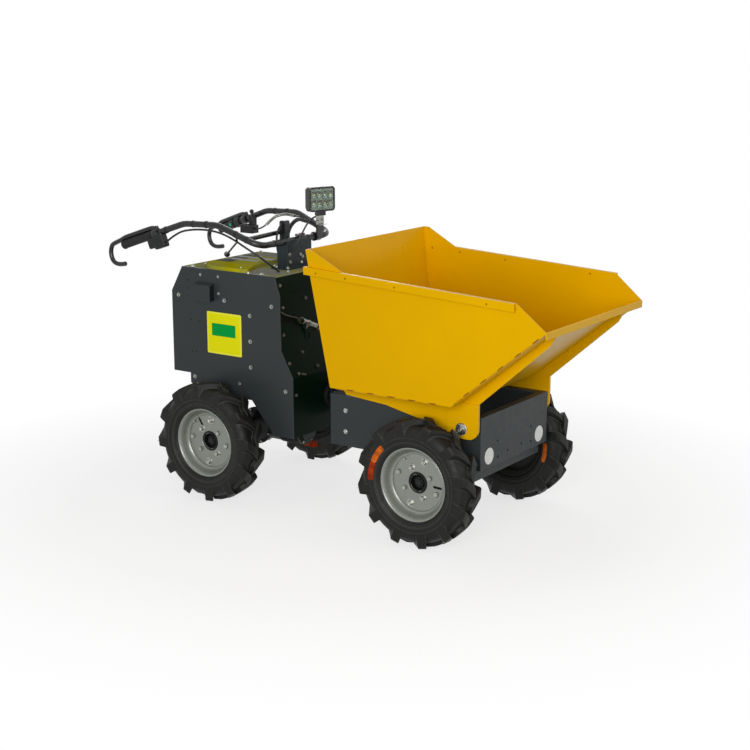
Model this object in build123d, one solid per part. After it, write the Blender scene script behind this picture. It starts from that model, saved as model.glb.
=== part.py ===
from build123d import *
import os
from math import cos, pi, radians, sin, tan

# Walk-behind four-wheel site dumper: battery rear body with handlebar, pivoting front
# frame and forward-tipping skip.
# Millimetres. +X towards the skip's lip, +Y to the machine's left, +Z up, ground at z = 0.

# ---------------------------------------------------------------- running gear
FRONT_AXLE_X = 439.2      # from the middle of the overall length
WHEELBASE = 843.0
REAR_AXLE_X = FRONT_AXLE_X - WHEELBASE
TYRE_R = 205.5            # to the flats of the lugs' tops
AXLE_Z = TYRE_R
FRAME_HALF_W = 212.0      # over the front frame's side plates
TYRE_GAP = 42.0           # from the front frame to the tyre
TYRE_W = 94.0
TYRE_MID_Y = FRAME_HALF_W + TYRE_GAP + TYRE_W / 2
LUG_H = 18.0
CARCASS_R = TYRE_R - LUG_H
LUGS_PER_SIDE = 12
TYRE_FLATS = 2 * LUGS_PER_SIDE        # flats round the carcass and the lugs' tops
LUG_DEPTH = 48.0          # of the solid that each lug is cut from
LUG_SPARE = 4.0           # of it above the tread
LUG_DRAFT = 9.5           # degrees
# both ends of a lug: along the roll, from the tyre's middle, width
LUG_ENDS = [(30.0, -4.0, 20.0), (-14.0, 38.5, 28.0)]
BEAD_R = 101.6            # eight inch rim
RIM_LIP_R = 118.5
RIM_T = 3.0
RIM_W = 74.0              # over both lips
DISC_R = 91.0
DISC_RECESS = 33.0        # disc face inside the outer lip
DISC_T = 4.0
HUB_HOLE_R = 33.0
HUB_R = 62.0
HUB_T = 10.0
HUB_NOSE_R = 29.0
HUB_NOSE_SET = 1.0        # nose inside the disc's face
HUB_BARREL_R = 36.0
HUB_GAP = 5.0             # between hub and axle flange
STUB_R = 15.0             # axle end inside the hub
STUB_RUN = 0.05           # running clearance of stub and hub
HUB_POCKET_R = 25.0       # pocket for the axle nut, open to the outside
HUB_POCKET_D = 20.0
THREAD_R = 10.0
THREAD_OUT = 3.0          # thread beyond the nut
AXLE_NUT_R = 18.0
AXLE_NUT_H = 12.0
NUT_SLOT_W, NUT_SLOT_D = 4.0, 4.5
NUT_RUN = 1.0
AXLE_TUBE_R = 31.0
AXLE_TUBE_OUT = 14.0      # axle flanges beyond the front frame's side plates
AXLE_TUBE_Y = FRAME_HALF_W + AXLE_TUBE_OUT
AXLE_FLANGE_R = 44.0
AXLE_FLANGE_T = 10.0
GEARCASE_R = 62.0
GEARCASE_W = 96.0
GEARCASE_NECK = 34.0      # cone from the gearcase down to the tube
MOTOR_R = 52.0
MOTOR_L = 120.0
MOTOR_CAP_R, MOTOR_CAP_L = 40.0, 12.0
MOUNT_T, MOUNT_L = 12.0, 96.0
MOUNT_HOOK = 8.0          # hanger plate beyond the tube
MOUNT_LOW = 24.0          # hanger plate below the axle
REAR_MOUNT_Y = 160.0
MOUNT_LAP = 60.0          # up inside the front frame

# ---------------------------------------------------------------- rear body
BODY_HALF_W = 213.0       # over the side plates
PLATE_T = 4.0
BODY_TOP_Z = AXLE_Z + 572.5
BODY_REAR_TOP_X = REAR_AXLE_X - 188.0
BODY_REAR_X = REAR_AXLE_X - 237.0
CHAMFER_Z = BODY_TOP_Z - 88.0
BODY_TAIL_Z = AXLE_Z + 200.5          # underside of the tail
TAIL_STEP_X = REAR_AXLE_X - 161.0
BODY_FRONT_TOP_X = REAR_AXLE_X + 216.0
BULK_KNEE_X = REAR_AXLE_X + 237.0
BULK_KNEE_Z = BODY_TOP_Z - 63.0
BULK_WAIST_X = REAR_AXLE_X + 240.0
BULK_WAIST_Z = AXLE_Z + 323.5
BULK_FOOT_X = REAR_AXLE_X + 288.0
BULK_FOOT_Z = AXLE_Z + 235.5
BODY_BOTTOM_Z = AXLE_Z + 30.5
ARCH_TOP_Z = AXLE_Z + 139.5
ARCH_REAR_X = REAR_AXLE_X - 120.0
ARCH_FRONT_X = REAR_AXLE_X + 112.0
ARCH_FOOT_X = REAR_AXLE_X + 205.0
TAIL_DROP_Z = AXLE_Z + 166.5          # where the tail step runs into the arch
SILL_L = 60.0             # level floor behind the bulkhead's foot
FOLD_L = 30.0             # reach of the bulkhead's folds
SEAM_UP = 15.0            # seam of bulkhead and floor above the arch
CUT_SPARE = 9.0           # how far cutting solids run past what they cut
BATTERY_L, BATTERY_W, BATTERY_H = 300.0, 360.0, 230.0
BATTERY_SET = 10.0        # battery ahead of the arch's rear end
LID_REAR_X = REAR_AXLE_X - 135.0
LID_FRONT_X = REAR_AXLE_X + 28.0      # left-hand front corner
LID_NEAR_X = REAR_AXLE_X + 97.0       # right-hand front corner, towards the bars
LID_LEFT_Y = 57.0
LID_INSET = 5.0           # lid inside the right-hand side plate's face
LID_T = 12.0
LID_BEND_X, LID_BEND_Y = REAR_AXLE_X + 50.0, -105.0     # where the front edge turns
LID_RADII = [8.0, 92.0, 12.0, 60.0, 10.0]
SIDE_BOX_X0, SIDE_BOX_X1 = REAR_AXLE_X - 117.0, REAR_AXLE_X - 47.0
SIDE_BOX_Z0, SIDE_BOX_Z1 = BODY_TOP_Z - 108.0, BODY_TOP_Z - 46.0
SIDE_BOX_OUT = 24.0
SIDE_BOX_SLOPE = 9.0      # fall of its top towards the outside
LATCH_R = 9.0             # release latch across the front of the bulkhead
LATCH_Y0, LATCH_Z0 = -111.0, AXLE_Z + 414.5
LATCH_Y1, LATCH_Z1 = -18.0, AXLE_Z + 378.5
LATCH_PLATE_T = 5.0
LATCH_TIP_Y, LATCH_TIP_Z = -80.0, AXLE_Z + 365.0

# ---------------------------------------------------------------- front frame
FRAME_T = 5.0
FRAME_FRONT_X = FRONT_AXLE_X + 169.0
FRAME_REAR_X = FRONT_AXLE_X - 400.0
FRAME_BOTTOM_Z = AXLE_Z + 41.5
FRAME_TOP_Z = AXLE_Z + 210.0
FRAME_FLANGE = 26.0       # inward folds round the open top
HOLE_R = 4.5
HOLE_DY = 213.0           # four-hole pattern in the front plate
HOLE_DZ = 51.0
HOLE_Z = AXLE_Z + 90.8    # middle of the pattern
PAIR_DY = 88.0            # two-hole pattern between them
PAIR_Z = AXLE_Z + 72.0
CROSS_PLATE_T, CROSS_PLATE_SET = 6.0, 26.0
CROSS_PLATE_Z0, CROSS_PLATE_Z1 = AXLE_Z + 1.5, AXLE_Z + 56.5

# ---------------------------------------------------------------- centre pivot
PIVOT_X = FRAME_REAR_X - 78.0
PIVOT_PIN_R = 15.0
PIVOT_RUN = 0.05
PIVOT_CAP_R, PIVOT_CAP_T = 24.0, 8.0
PIVOT_BOSS_R = 32.0
KNUCKLE_Z0, KNUCKLE_Z1 = AXLE_Z + 94.5, AXLE_Z + 190.5
KNUCKLE_SHAFT_R = 30.0
KNUCKLE_PLATE_W, KNUCKLE_PLATE_H, KNUCKLE_PLATE_T = 120.0, 96.0, 8.0
YOKE_T = 16.0
YOKE_GAP = 5.0
YOKE_HALF_W = 40.0
YOKE_BACK_T = 12.0
YOKE_BACK_GAP = 9.0       # between knuckle and the yoke's back plate
ROLL_FLANGE_R = 41.0      # round roll bearing flange on the bulkhead
ROLL_FLANGE_T = 14.0
ROLL_SHAFT_R = 27.0

# ---------------------------------------------------------------- skip
SHEET_T = 4.0
SKIP_FLOOR_Z = AXLE_Z + 256.5         # underside of the floor
SKIP_BACK_TOP = (FRONT_AXLE_X - 400.0, 340.3, AXLE_Z + 697.5)    # x, half width, z
SKIP_BACK_FOOT_X = FRONT_AXLE_X - 334.0
SKIP_FOLD_X = FRONT_AXLE_X + 114.0    # floor meets spout
SKIP_LIP = (FRONT_AXLE_X + 443.0, AXLE_Z + 523.5)
SKIP_SPAN = 420.0         # half width of the solids that the skip is cut from
WALL_LEAN = 0.0787        # half width gained per mm of height
WALL_TAPER = -0.0075      # half width gained per mm forwards
RAIL_FRONT_X = FRONT_AXLE_X + 345.0
RAIL_FRONT_Z = AXLE_Z + 602.5
RAIL_SLOPE = -0.0554      # height per mm forwards
RAIL_REAR_X = FRONT_AXLE_X - 404.0
RAIL_OUT = 12.0           # rail stands out of the wall
RAIL_DROP = 25.0
RAIL_CUT_L = 90.0         # depth of the cut under the rail
LIP_FOLD = 20.0
WING_FLAT = 22.0          # level top of each corner wing
WING_X = FRONT_AXLE_X - 262.0         # front end of the corner wings
SIDE_HOLE_R = 3.0         # holes below the side walls' top edges
SIDE_HOLE_DROP = 15.0
SIDE_HOLE_X = [FRONT_AXLE_X + d for d in (-357.0, -245.0, -65.0, 254.0)]
BACK_HOLE_Y, BACK_HOLE_Z = 189.0, AXLE_Z + 639.5
BRACKET_T = 6.0
BRACKET_GAP = 10.0        # between the front frame and each bracket
BRACKET_MID_Y = FRAME_HALF_W + BRACKET_GAP + BRACKET_T / 2
BRACKET_FRONT_X = FRONT_AXLE_X + 169.5
BRACKET_BOTTOM_Z = AXLE_Z + 142.5
BRACKET_NOSE_R = 34.0     # round lower front corner
BRACKET_STEP_X = BRACKET_FRONT_X - 137.0
BRACKET_STEP_Z = BRACKET_BOTTOM_Z + 23.0
BRACKET_REAR_X = FRONT_AXLE_X - 325.0
BRACKET_REAR_Z = AXLE_Z + 219.5
BRACKET_HEEL = 12.0       # lower edge's last bend below its rear end
BRACKET_HEEL_L = 154.0
BRACKET_TAIL = 32.0       # upper corner behind the lower one
PIN_PLATE_T = 4.0         # thicker plate round the tipping pin
PIN_PLATE_L = 55.0        # behind the pin
RIB_TIP = (FRONT_AXLE_X + 407.0, AXLE_Z + 466.5)
RIB_GAP = 3.0             # rib behind the folded lip
TIP_PIN_X = FRONT_AXLE_X + 113.0
TIP_PIN_Z = AXLE_Z + 174.0
TIP_PIN_R = 12.5
TIP_PIN_RUN = 0.05
TIP_PIN_HEAD_R, TIP_PIN_HEAD_T = 20.0, 6.0
TIP_PIN_SIDE = 1.0        # between bracket and pin head
TIP_PIN_IN = 11.0         # pin behind the frame's side plate

# ---------------------------------------------------------------- handlebar
BAR_R = 11.0
GRIP_R = 15.0
HOOK_R = 8.0
CROSS_X = REAR_AXLE_X + 143.0
CROSS_Z = AXLE_Z + 665.5
POST_L, POST_W = 46.0, 132.0
POST_X = CROSS_X - 6.0
POST_FOOT_L, POST_FOOT_W, POST_FOOT_T = 74.0, 164.0, 5.0
# half of the bar, from the middle of the cross tube to the end of the grip
BAR_POINTS = [            # x, y, z
    (CROSS_X, 0.0, CROSS_Z),
    (CROSS_X, 196.0, CROSS_Z),
    (REAR_AXLE_X - 19.0, 219.0, AXLE_Z + 726.5),
    (REAR_AXLE_X - 160.0, 225.0, AXLE_Z + 722.5),
    (REAR_AXLE_X - 409.0, 259.0, AXLE_Z + 634.5),
]
BAR_BENDS = [44.0, 90.0, 110.0]
GRIP_L = 128.0
GRIP_END_T = 4.0
CLAMP_L = 24.0
CLAMP_T = 6.0
CLAMP_GAP = 3.0
CLAMP_LUG_W, CLAMP_LUG_H = 12.0, 14.0
HOOK_GAP = 1.5            # between grip and guard bar
HOOK_START = 4.0          # guard bar's start behind the clamp's middle
HOOK_TOP_L = 150.0
HOOK_Y = 262.0
HOOK_TAIL_X = REAR_AXLE_X - 474.0
HOOK_HIGH_Z = AXLE_Z + 616.5
HOOK_LOW_Z = AXLE_Z + 568.5
HOOK_DIP = 10.0
HOOK_TURN_L = 16.0
HOOK_TAIL_L = 72.0
HOOK_BENDS = [20.0, 24.0, 14.0]
BRACE_R = 8.0             # brace from the right-hand bar to the stay beside the post
BRACE_X = REAR_AXLE_X + 93.0
BRACE_Y0, BRACE_Y1 = -206.0, -30.0
BRACE_Z0, BRACE_Z1 = AXLE_Z + 684.5, AXLE_Z + 690.5
STAY_T, STAY_W = 26.0, 24.0
STAY_Z1 = AXLE_Z + 733.5

# ---------------------------------------------------------------- controls
SWITCH_L, SWITCH_W, SWITCH_H = 46.0, 32.0, 54.0         # switch block, right-hand bar
SWITCH_AHEAD = 18.0       # switch block's front end ahead of the clamp
BUTTON_L, BUTTON_W, BUTTON_H = 30.0, 28.0, 38.0         # lower part behind it
BUTTON_OUT = 8.0
CONTROL_R = 6.0           # round edges
BOX_X0, BOX_X1 = REAR_AXLE_X - 257.0, REAR_AXLE_X - 197.0    # drive control, left-hand bar
BOX_Y0, BOX_Y1 = 182.0, 222.0
BOX_Z0, BOX_Z1 = AXLE_Z + 639.5, AXLE_Z + 668.0
HANGER_L, HANGER_T, HANGER_UP = 30.0, 10.0, 34.0
LEVER_R, KNOB_R = 4.0, 8.0
LEVER_FOOT = (REAR_AXLE_X - 205.0, 200.0, BOX_Z1 - 3.0)
LEVER_TOP = (REAR_AXLE_X - 213.0, 200.0, AXLE_Z + 718.0)

# ---------------------------------------------------------------- held cables
ARC_SHARE = 0.45          # of the shorter run that each arc takes
CABLE_SET = 2.0           # slanted ends stand off what they meet
LOOM_D, CABLE_D, LAMP_CABLE_D, CORD_D = 12.5, 7.0, 6.0, 3.5
SWITCH_CABLE = [          # along the right-hand bar and down into the top cover
    (REAR_AXLE_X - 232.0, -240.5, AXLE_Z + 654.0),
    (REAR_AXLE_X - 207.0, -239.0, AXLE_Z + 673.0),
    (REAR_AXLE_X - 166.0, -233.0, AXLE_Z + 697.0),
    (REAR_AXLE_X - 111.0, -227.0, AXLE_Z + 706.5),
    (REAR_AXLE_X - 54.0, -223.0, AXLE_Z + 708.0),
    (REAR_AXLE_X - 3.0, -219.0, AXLE_Z + 701.0),
    (REAR_AXLE_X + 44.0, -214.0, AXLE_Z + 684.0),
    (REAR_AXLE_X + 88.0, -209.0, AXLE_Z + 661.0),
    (REAR_AXLE_X + 126.0, -190.0, AXLE_Z + 634.0),
    (REAR_AXLE_X + 153.0, -160.0, AXLE_Z + 603.0),
    (REAR_AXLE_X + 171.0, -128.0, BODY_TOP_Z + CABLE_SET),
]
POST_CABLE = [            # from the stay down into the post
    (REAR_AXLE_X + 119.0, -44.0, AXLE_Z + 722.0),
    (REAR_AXLE_X + 112.0, -54.0, AXLE_Z + 708.0),
    (REAR_AXLE_X + 108.0, -60.0, AXLE_Z + 684.0),
    (REAR_AXLE_X + 106.0, -58.0, AXLE_Z + 655.0),
    (REAR_AXLE_X + 104.0, -51.0, AXLE_Z + 628.0),
    (REAR_AXLE_X + 110.0, -46.0, AXLE_Z + 601.0),
    (REAR_AXLE_X + 124.0, -50.0, BODY_TOP_Z + POST_FOOT_T + CABLE_SET),
]
WIRING_LOOM = [           # from the left-hand bar round the cross tube's rear into the post
    (REAR_AXLE_X + 50.0, 191.5, AXLE_Z + 700.5),
    (REAR_AXLE_X + 62.0, 156.0, AXLE_Z + 709.0),
    (REAR_AXLE_X + 76.0, 120.0, AXLE_Z + 717.0),
    (REAR_AXLE_X + 89.0, 84.0, AXLE_Z + 722.0),
    (REAR_AXLE_X + 98.0, 50.0, AXLE_Z + 718.0),
    (REAR_AXLE_X + 103.0, 20.0, AXLE_Z + 703.0),
    (REAR_AXLE_X + 106.0, 2.0, AXLE_Z + 678.0),
    (REAR_AXLE_X + 108.0, -1.0, AXLE_Z + 650.0),
    (REAR_AXLE_X + 114.0, 8.0, AXLE_Z + 624.0),
    (REAR_AXLE_X + 131.0, 24.0, AXLE_Z + 606.0),
    (REAR_AXLE_X + 152.0, 41.0, AXLE_Z + 599.0),
]
LAMP_CABLE = [            # from the lamp's foot over the cross tube to the front of the post
    (REAR_AXLE_X + 154.0, 104.0, AXLE_Z + 736.5),
    (REAR_AXLE_X + 148.0, 82.0, AXLE_Z + 728.0),
    (REAR_AXLE_X + 151.0, 50.0, AXLE_Z + 711.0),
    (REAR_AXLE_X + 160.0, 14.0, AXLE_Z + 687.0),
    (REAR_AXLE_X + 168.0, -22.0, AXLE_Z + 664.0),
    (REAR_AXLE_X + 170.0, -44.0, AXLE_Z + 648.0),
    (REAR_AXLE_X + 162.5, -60.0, AXLE_Z + 634.0),
]
PULL_CORD = [(REAR_AXLE_X + 52.0, -202.0, AXLE_Z + 673.5), (REAR_AXLE_X - 155.0, -7.0, AXLE_Z + 594.5)]
CORD_LINK_TOP = (REAR_AXLE_X + 52.0, -205.0, AXLE_Z + 690.0)      # underside of the bar
BOOT_L, BOOT_R0, BOOT_R1 = 26.0, 4.0, 11.0

# ---------------------------------------------------------------- work lamp
LAMP_W, LAMP_H, LAMP_D = 106.0, 85.0, 26.0
LAMP_X, LAMP_Y, LAMP_Z = CROSS_X + 19.0, 116.0, AXLE_Z + 795.5
LAMP_TURN = -20.0
LAMP_CORNER = 12.0
LAMP_EDGE = 4.0
LAMP_RIM = 6.0
LENS_T = 3.0
FIN_COUNT, FIN_T, FIN_L = 9, 3.0, 16.0
FIN_H = 66.0
LAMP_FOOT_L, LAMP_FOOT_W, LAMP_FOOT_H = 24.0, 30.0, 14.0
LAMP_PLATE_T, LAMP_PLATE_W = 6.0, 36.0
LAMP_CLAMP_L, LAMP_CLAMP_T = 30.0, 5.0


def xz(points, half_w, y_mid=0.0):
    """A plate or block: an outline in X and Z, carried half_w each way along Y."""
    face = make_face(Polyline([(x, 0, z) for x, z in points], close=True).edges())
    return Pos(0, y_mid, 0) * extrude(face, amount=half_w, dir=(0, 1, 0), both=True)


def zone(x0, x1, z0, z1, half_w):
    return Pos((x0 + x1) / 2, 0, (z0 + z1) / 2) * Box(x1 - x0, 2 * half_w, z1 - z0)


def block(x0, x1, y0, y1, z0, z1):
    return Pos((x0 + x1) / 2, (y0 + y1) / 2, (z0 + z1) / 2) * Box(x1 - x0, y1 - y0, z1 - z0)


def rod(p, q, r):
    """A round bar from p to q."""
    a, b = Vector(*p), Vector(*q)
    d = b - a
    return Plane(origin=a, z_dir=d) * Cylinder(r, d.length, align=(Align.CENTER, Align.CENTER, Align.MIN))


def cross_rod(x, z, r, y0, y1):
    return rod((x, y0, z), (x, y1, z), r)


def pipe(points, radii, r):
    """A round bar along straight runs joined by arcs."""
    line = FilletPolyline(*[Vector(*p) for p in points], radius=radii)
    return sweep(Plane(origin=line @ 0, z_dir=line % 0) * Circle(r), path=line)


def mirrored(part):
    return mirror(part, about=Plane.XZ)


def ring(profile):
    """A turned piece about the axle line, from (radius, y) points."""
    face = make_face(Polyline([(r, y, 0) for r, y in profile], close=True).edges())
    return revolve(face, axis=Axis.Y)


nodes = {}

# ================================================================ wheels
rim_y = RIM_W / 2
tyre_y = TYRE_W / 2
LAND_IN, LAND_OUT = rim_y - 22.0, rim_y - 12.0      # bead seat, from the middle
WELL_Y = rim_y - 28.0
DISC_Y = -rim_y + DISC_RECESS
BEAD_OUT_R = BEAD_R + RIM_T
WALL_R, WALL_HALF_T = 152.0, 2.0                    # widest part of the side walls
CHEEK_DROP, CHEEK_IN = 16.0, 3.0                    # side wall's upper bend below the tread, inside the wall
SHOULDER_IN = 11.0                                  # tread's edge inside the side wall


def flat_sided(loops, closed=False):
    """A solid of flat faces between polygons with equally many corners."""
    following = loops[1:] + loops[:1] if closed else loops[1:]
    outlines = [] if closed else [loops[0], loops[-1]]
    for a, b in zip(loops, following):
        outlines += [[a[k], a[k - 1], b[k - 1], b[k]] for k in range(len(a))]
    return Solid(Shell([Face(Wire.make_polygon(points)) for points in outlines]))


def round_axle(r, y):
    """Corners of a flat-sided ring about the axle line, one flat at the bottom."""
    turns = [2 * pi * (k + 0.5) / TYRE_FLATS for k in range(TYRE_FLATS)]
    return [Vector(r * sin(a), y, r * cos(a)) for a in turns]


def spread(corners, amount):
    """A convex outline grown by this amount on every side."""
    grown = []
    for before, here, after in zip(corners[-1:] + corners[:-1], corners, corners[1:] + corners[:1]):
        out_0 = (here - before).cross(Vector(0, 0, 1)).normalized()
        out_1 = (after - here).cross(Vector(0, 0, 1)).normalized()
        grown.append(here + (out_0 + out_1) * (amount / (1 + out_0.dot(out_1))))
    return grown


def lug_solid(side):
    """One lug at the top of the tyre, its shoulder end towards side."""
    top_z = TYRE_R + LUG_SPARE
    ahead = [Vector(t + w / 2, side * y, top_z) for t, y, w in LUG_ENDS]
    behind = [Vector(t - w / 2, side * y, top_z) for t, y, w in reversed(LUG_ENDS)]
    top = (ahead + behind)[::-side]
    foot = [p - Vector(0, 0, LUG_DEPTH) for p in spread(top, LUG_DEPTH * tan(radians(LUG_DRAFT)))]
    return flat_sided([top, foot])


def tyre_solid():
    """Right-hand tyre at the origin, axle along Y, outer side towards -Y."""
    across = cos(pi / TYRE_FLATS)                   # flats to corners
    outer = [(WALL_R + WALL_HALF_T, tyre_y), (CARCASS_R - CHEEK_DROP, tyre_y - CHEEK_IN),
             (CARCASS_R, tyre_y - SHOULDER_IN)]
    inner = [(BEAD_OUT_R / across, LAND_OUT), (RIM_LIP_R / across, rim_y - RIM_T),
             ((WALL_R - WALL_HALF_T) / across, tyre_y)]
    half = inner + outer
    levels = [(r, -y) for r, y in half] + [(r, y) for r, y in reversed(half)]
    carcass = flat_sided([round_axle(r, y) for r, y in levels], closed=True)
    tread = flat_sided([round_axle(TYRE_R / across, y) for y in (-tyre_y, tyre_y)])
    lugs = []
    for k in range(LUGS_PER_SIDE):
        for side, turn in ((-1, 2 * k), (1, 2 * k + 1)):
            lugs += ((Rot(0, 360.0 * turn / TYRE_FLATS, 0) * lug_solid(side)) & tread).solids()
    return carcass.fuse(*lugs)


def rim_solid():
    outer = [(RIM_LIP_R, -rim_y), (RIM_LIP_R, -rim_y + RIM_T), (BEAD_OUT_R, -LAND_OUT),
             (BEAD_OUT_R, -LAND_IN), (DISC_R + RIM_T, -WELL_Y)]
    inner = [(RIM_LIP_R - RIM_T - 1.0, -rim_y), (BEAD_R, -LAND_OUT), (BEAD_R, -LAND_IN + RIM_T),
             (DISC_R, -WELL_Y + RIM_T)]
    far = [(r, -y) for r, y in reversed(outer)]
    back = [(r, -y) for r, y in inner]
    disc = [(DISC_R, DISC_Y + DISC_T), (HUB_HOLE_R, DISC_Y + DISC_T), (HUB_HOLE_R, DISC_Y),
            (DISC_R - DISC_T, DISC_Y)]
    return ring(outer + far + back + disc + list(reversed(inner)))


HUB_FACE_Y = DISC_Y + DISC_T          # hub flange bears on the back of the disc
HUB_NOSE_Y = DISC_Y + HUB_NOSE_SET
POCKET_Y = HUB_NOSE_Y + HUB_POCKET_D
HUB_END_Y = TYRE_MID_Y - AXLE_TUBE_Y - HUB_GAP
NUT_Y = POCKET_Y - NUT_RUN
STUB_END_Y = NUT_Y - AXLE_NUT_H - THREAD_OUT


def hub_solid():
    bore = STUB_R + STUB_RUN
    return ring([(HUB_POCKET_R, HUB_NOSE_Y), (HUB_NOSE_R, HUB_NOSE_Y), (HUB_NOSE_R, HUB_FACE_Y),
                 (HUB_R, HUB_FACE_Y), (HUB_R, HUB_FACE_Y + HUB_T), (HUB_BARREL_R, HUB_FACE_Y + HUB_T),
                 (HUB_BARREL_R, HUB_END_Y), (bore, HUB_END_Y), (bore, POCKET_Y), (HUB_POCKET_R, POCKET_Y)])


tyre, rim, hub = tyre_solid(), rim_solid(), hub_solid()
for end, axle_x in (("front", FRONT_AXLE_X), ("rear", REAR_AXLE_X)):
    for name, piece in (("tyre", tyre), ("rim", rim), ("hub", hub)):
        right = Pos(axle_x, -TYRE_MID_Y, AXLE_Z) * piece
        nodes[f"{end}_right_{name}"] = right
        nodes[f"{end}_left_{name}"] = mirrored(right)

# ================================================================ axles and motors
FRONT_MOUNT_Y = FRAME_HALF_W - FRAME_T - MOUNT_T / 2     # against the frame's side plates


def castle_nut():
    """Slotted nut of the right-hand axle end, seated at its inner face."""
    nut = extrude(Plane.XZ * RegularPolygon(AXLE_NUT_R, 6), amount=AXLE_NUT_H)
    for turn in (0, 60, 120):
        slot = Box(2 * AXLE_NUT_R, NUT_SLOT_D, NUT_SLOT_W)
        nut -= Rot(0, turn, 0) * Pos(0, -AXLE_NUT_H + NUT_SLOT_D / 2, 0) * slot
    return nut


def axle_solid():
    stub_y = TYRE_MID_Y - NUT_Y
    half = [(THREAD_R, TYRE_MID_Y - STUB_END_Y), (THREAD_R, stub_y), (STUB_R, stub_y), (STUB_R, AXLE_TUBE_Y),
            (AXLE_FLANGE_R, AXLE_TUBE_Y), (AXLE_FLANGE_R, AXLE_TUBE_Y - AXLE_FLANGE_T),
            (AXLE_TUBE_R, AXLE_TUBE_Y - AXLE_FLANGE_T), (AXLE_TUBE_R, GEARCASE_W / 2 + GEARCASE_NECK),
            (GEARCASE_R, GEARCASE_W / 2)]
    tip = TYRE_MID_Y - STUB_END_Y
    body = ring([(0, -tip)] + [(r, -y) for r, y in half] + [(r, y) for r, y in reversed(half)] + [(0, tip)])
    nut = Pos(0, -stub_y, 0) * castle_nut()
    return body + nut + mirrored(nut)


def mounts(axle_x, top_z, y_mid):
    """Two hanger plates between an axle tube and the sheet above it."""
    wide, narrow = AXLE_TUBE_R + MOUNT_HOOK, AXLE_TUBE_R - MOUNT_HOOK
    plate = xz([(axle_x - MOUNT_L / 2, top_z), (axle_x + MOUNT_L / 2, top_z), (axle_x + wide, AXLE_Z),
                (axle_x + narrow, AXLE_Z - MOUNT_LOW), (axle_x - narrow, AXLE_Z - MOUNT_LOW),
                (axle_x - wide, AXLE_Z)], MOUNT_T / 2, -y_mid)
    plate -= cross_rod(axle_x, AXLE_Z, AXLE_TUBE_R, -AXLE_TUBE_Y, 0.0)
    return Compound([plate, mirrored(plate)])


axle = axle_solid()
for end, axle_x, side in (("front", FRONT_AXLE_X, -1), ("rear", REAR_AXLE_X, 1)):
    nodes[f"{end}_axle"] = Pos(axle_x, 0, AXLE_Z) * axle
    motor_end = axle_x + side * (GEARCASE_R + MOTOR_L)
    motor = rod((axle_x, 0, AXLE_Z), (motor_end, 0, AXLE_Z), MOTOR_R)
    motor += rod((motor_end, 0, AXLE_Z), (motor_end + side * MOTOR_CAP_L, 0, AXLE_Z), MOTOR_CAP_R)
    motor -= cross_rod(axle_x, AXLE_Z, GEARCASE_R, -GEARCASE_W / 2, GEARCASE_W / 2)
    motor -= Pos(axle_x, 0, AXLE_Z) * axle
    nodes[f"{end}_drive_motor"] = motor.solids().sort_by(SortBy.VOLUME)[-1]
nodes["front_axle_mounts"] = mounts(FRONT_AXLE_X, FRAME_BOTTOM_Z + MOUNT_LAP, FRONT_MOUNT_Y)
nodes["rear_axle_mounts"] = mounts(REAR_AXLE_X, ARCH_TOP_Z, REAR_MOUNT_Y)

# ================================================================ rear body
body_outline = [
    (BODY_FRONT_TOP_X, BODY_TOP_Z), (BODY_REAR_TOP_X, BODY_TOP_Z), (BODY_REAR_X, CHAMFER_Z),
    (BODY_REAR_X, BODY_TAIL_Z), (TAIL_STEP_X, BODY_TAIL_Z), (TAIL_STEP_X, TAIL_DROP_Z),
    (ARCH_REAR_X, ARCH_TOP_Z), (ARCH_FRONT_X, ARCH_TOP_Z), (ARCH_FOOT_X, BODY_BOTTOM_Z),
    (BULK_FOOT_X, BODY_BOTTOM_Z),
    (BULK_FOOT_X, BULK_FOOT_Z), (BULK_WAIST_X, BULK_WAIST_Z), (BULK_KNEE_X, BULK_KNEE_Z)]
INNER_HALF_W = BODY_HALF_W - PLATE_T
side_right = xz(body_outline, PLATE_T / 2, -BODY_HALF_W + PLATE_T / 2)
nodes["rear_side_plate_right"] = side_right
nodes["rear_side_plate_left"] = mirrored(side_right)

outline_face = make_face(Polyline([(x, 0, z) for x, z in body_outline], close=True).edges())
inner_face = offset(outline_face, amount=-PLATE_T, kind=Kind.INTERSECTION)
wrap = extrude(outline_face - inner_face, amount=INNER_HALF_W, dir=(0, 1, 0), both=True)


def wrap_part(x0, x1, z0, z1):
    """The part of the folded sheet round the body that lies inside these limits."""
    return wrap & zone(x0, x1, z0, z1, BODY_HALF_W)


INNER_TOP_Z = BODY_TOP_Z - PLATE_T
TAIL_TOP_Z = BODY_TAIL_Z + PLATE_T
SEAM_Z = ARCH_TOP_Z + SEAM_UP
rear_of_all, front_of_all = BODY_REAR_X - CUT_SPARE, BULK_FOOT_X + CUT_SPARE
nodes["top_cover"] = wrap_part(rear_of_all, front_of_all, INNER_TOP_Z, BODY_TOP_Z + CUT_SPARE)
bulkhead = wrap_part(BODY_FRONT_TOP_X - FOLD_L, front_of_all, SEAM_Z, INNER_TOP_Z)
bulkhead += wrap_part(BULK_FOOT_X - FOLD_L, front_of_all, BODY_BOTTOM_Z + PLATE_T, SEAM_Z)
nodes["rear_panel"] = wrap_part(rear_of_all, TAIL_STEP_X, TAIL_TOP_Z, INNER_TOP_Z)
floor = wrap_part(rear_of_all, BULK_FOOT_X - SILL_L, BODY_BOTTOM_Z - CUT_SPARE, TAIL_TOP_Z)
floor += wrap_part(BULK_FOOT_X - SILL_L, front_of_all, BODY_BOTTOM_Z - CUT_SPARE, BODY_BOTTOM_Z + PLATE_T)
nodes["floor_pan"] = floor

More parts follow.
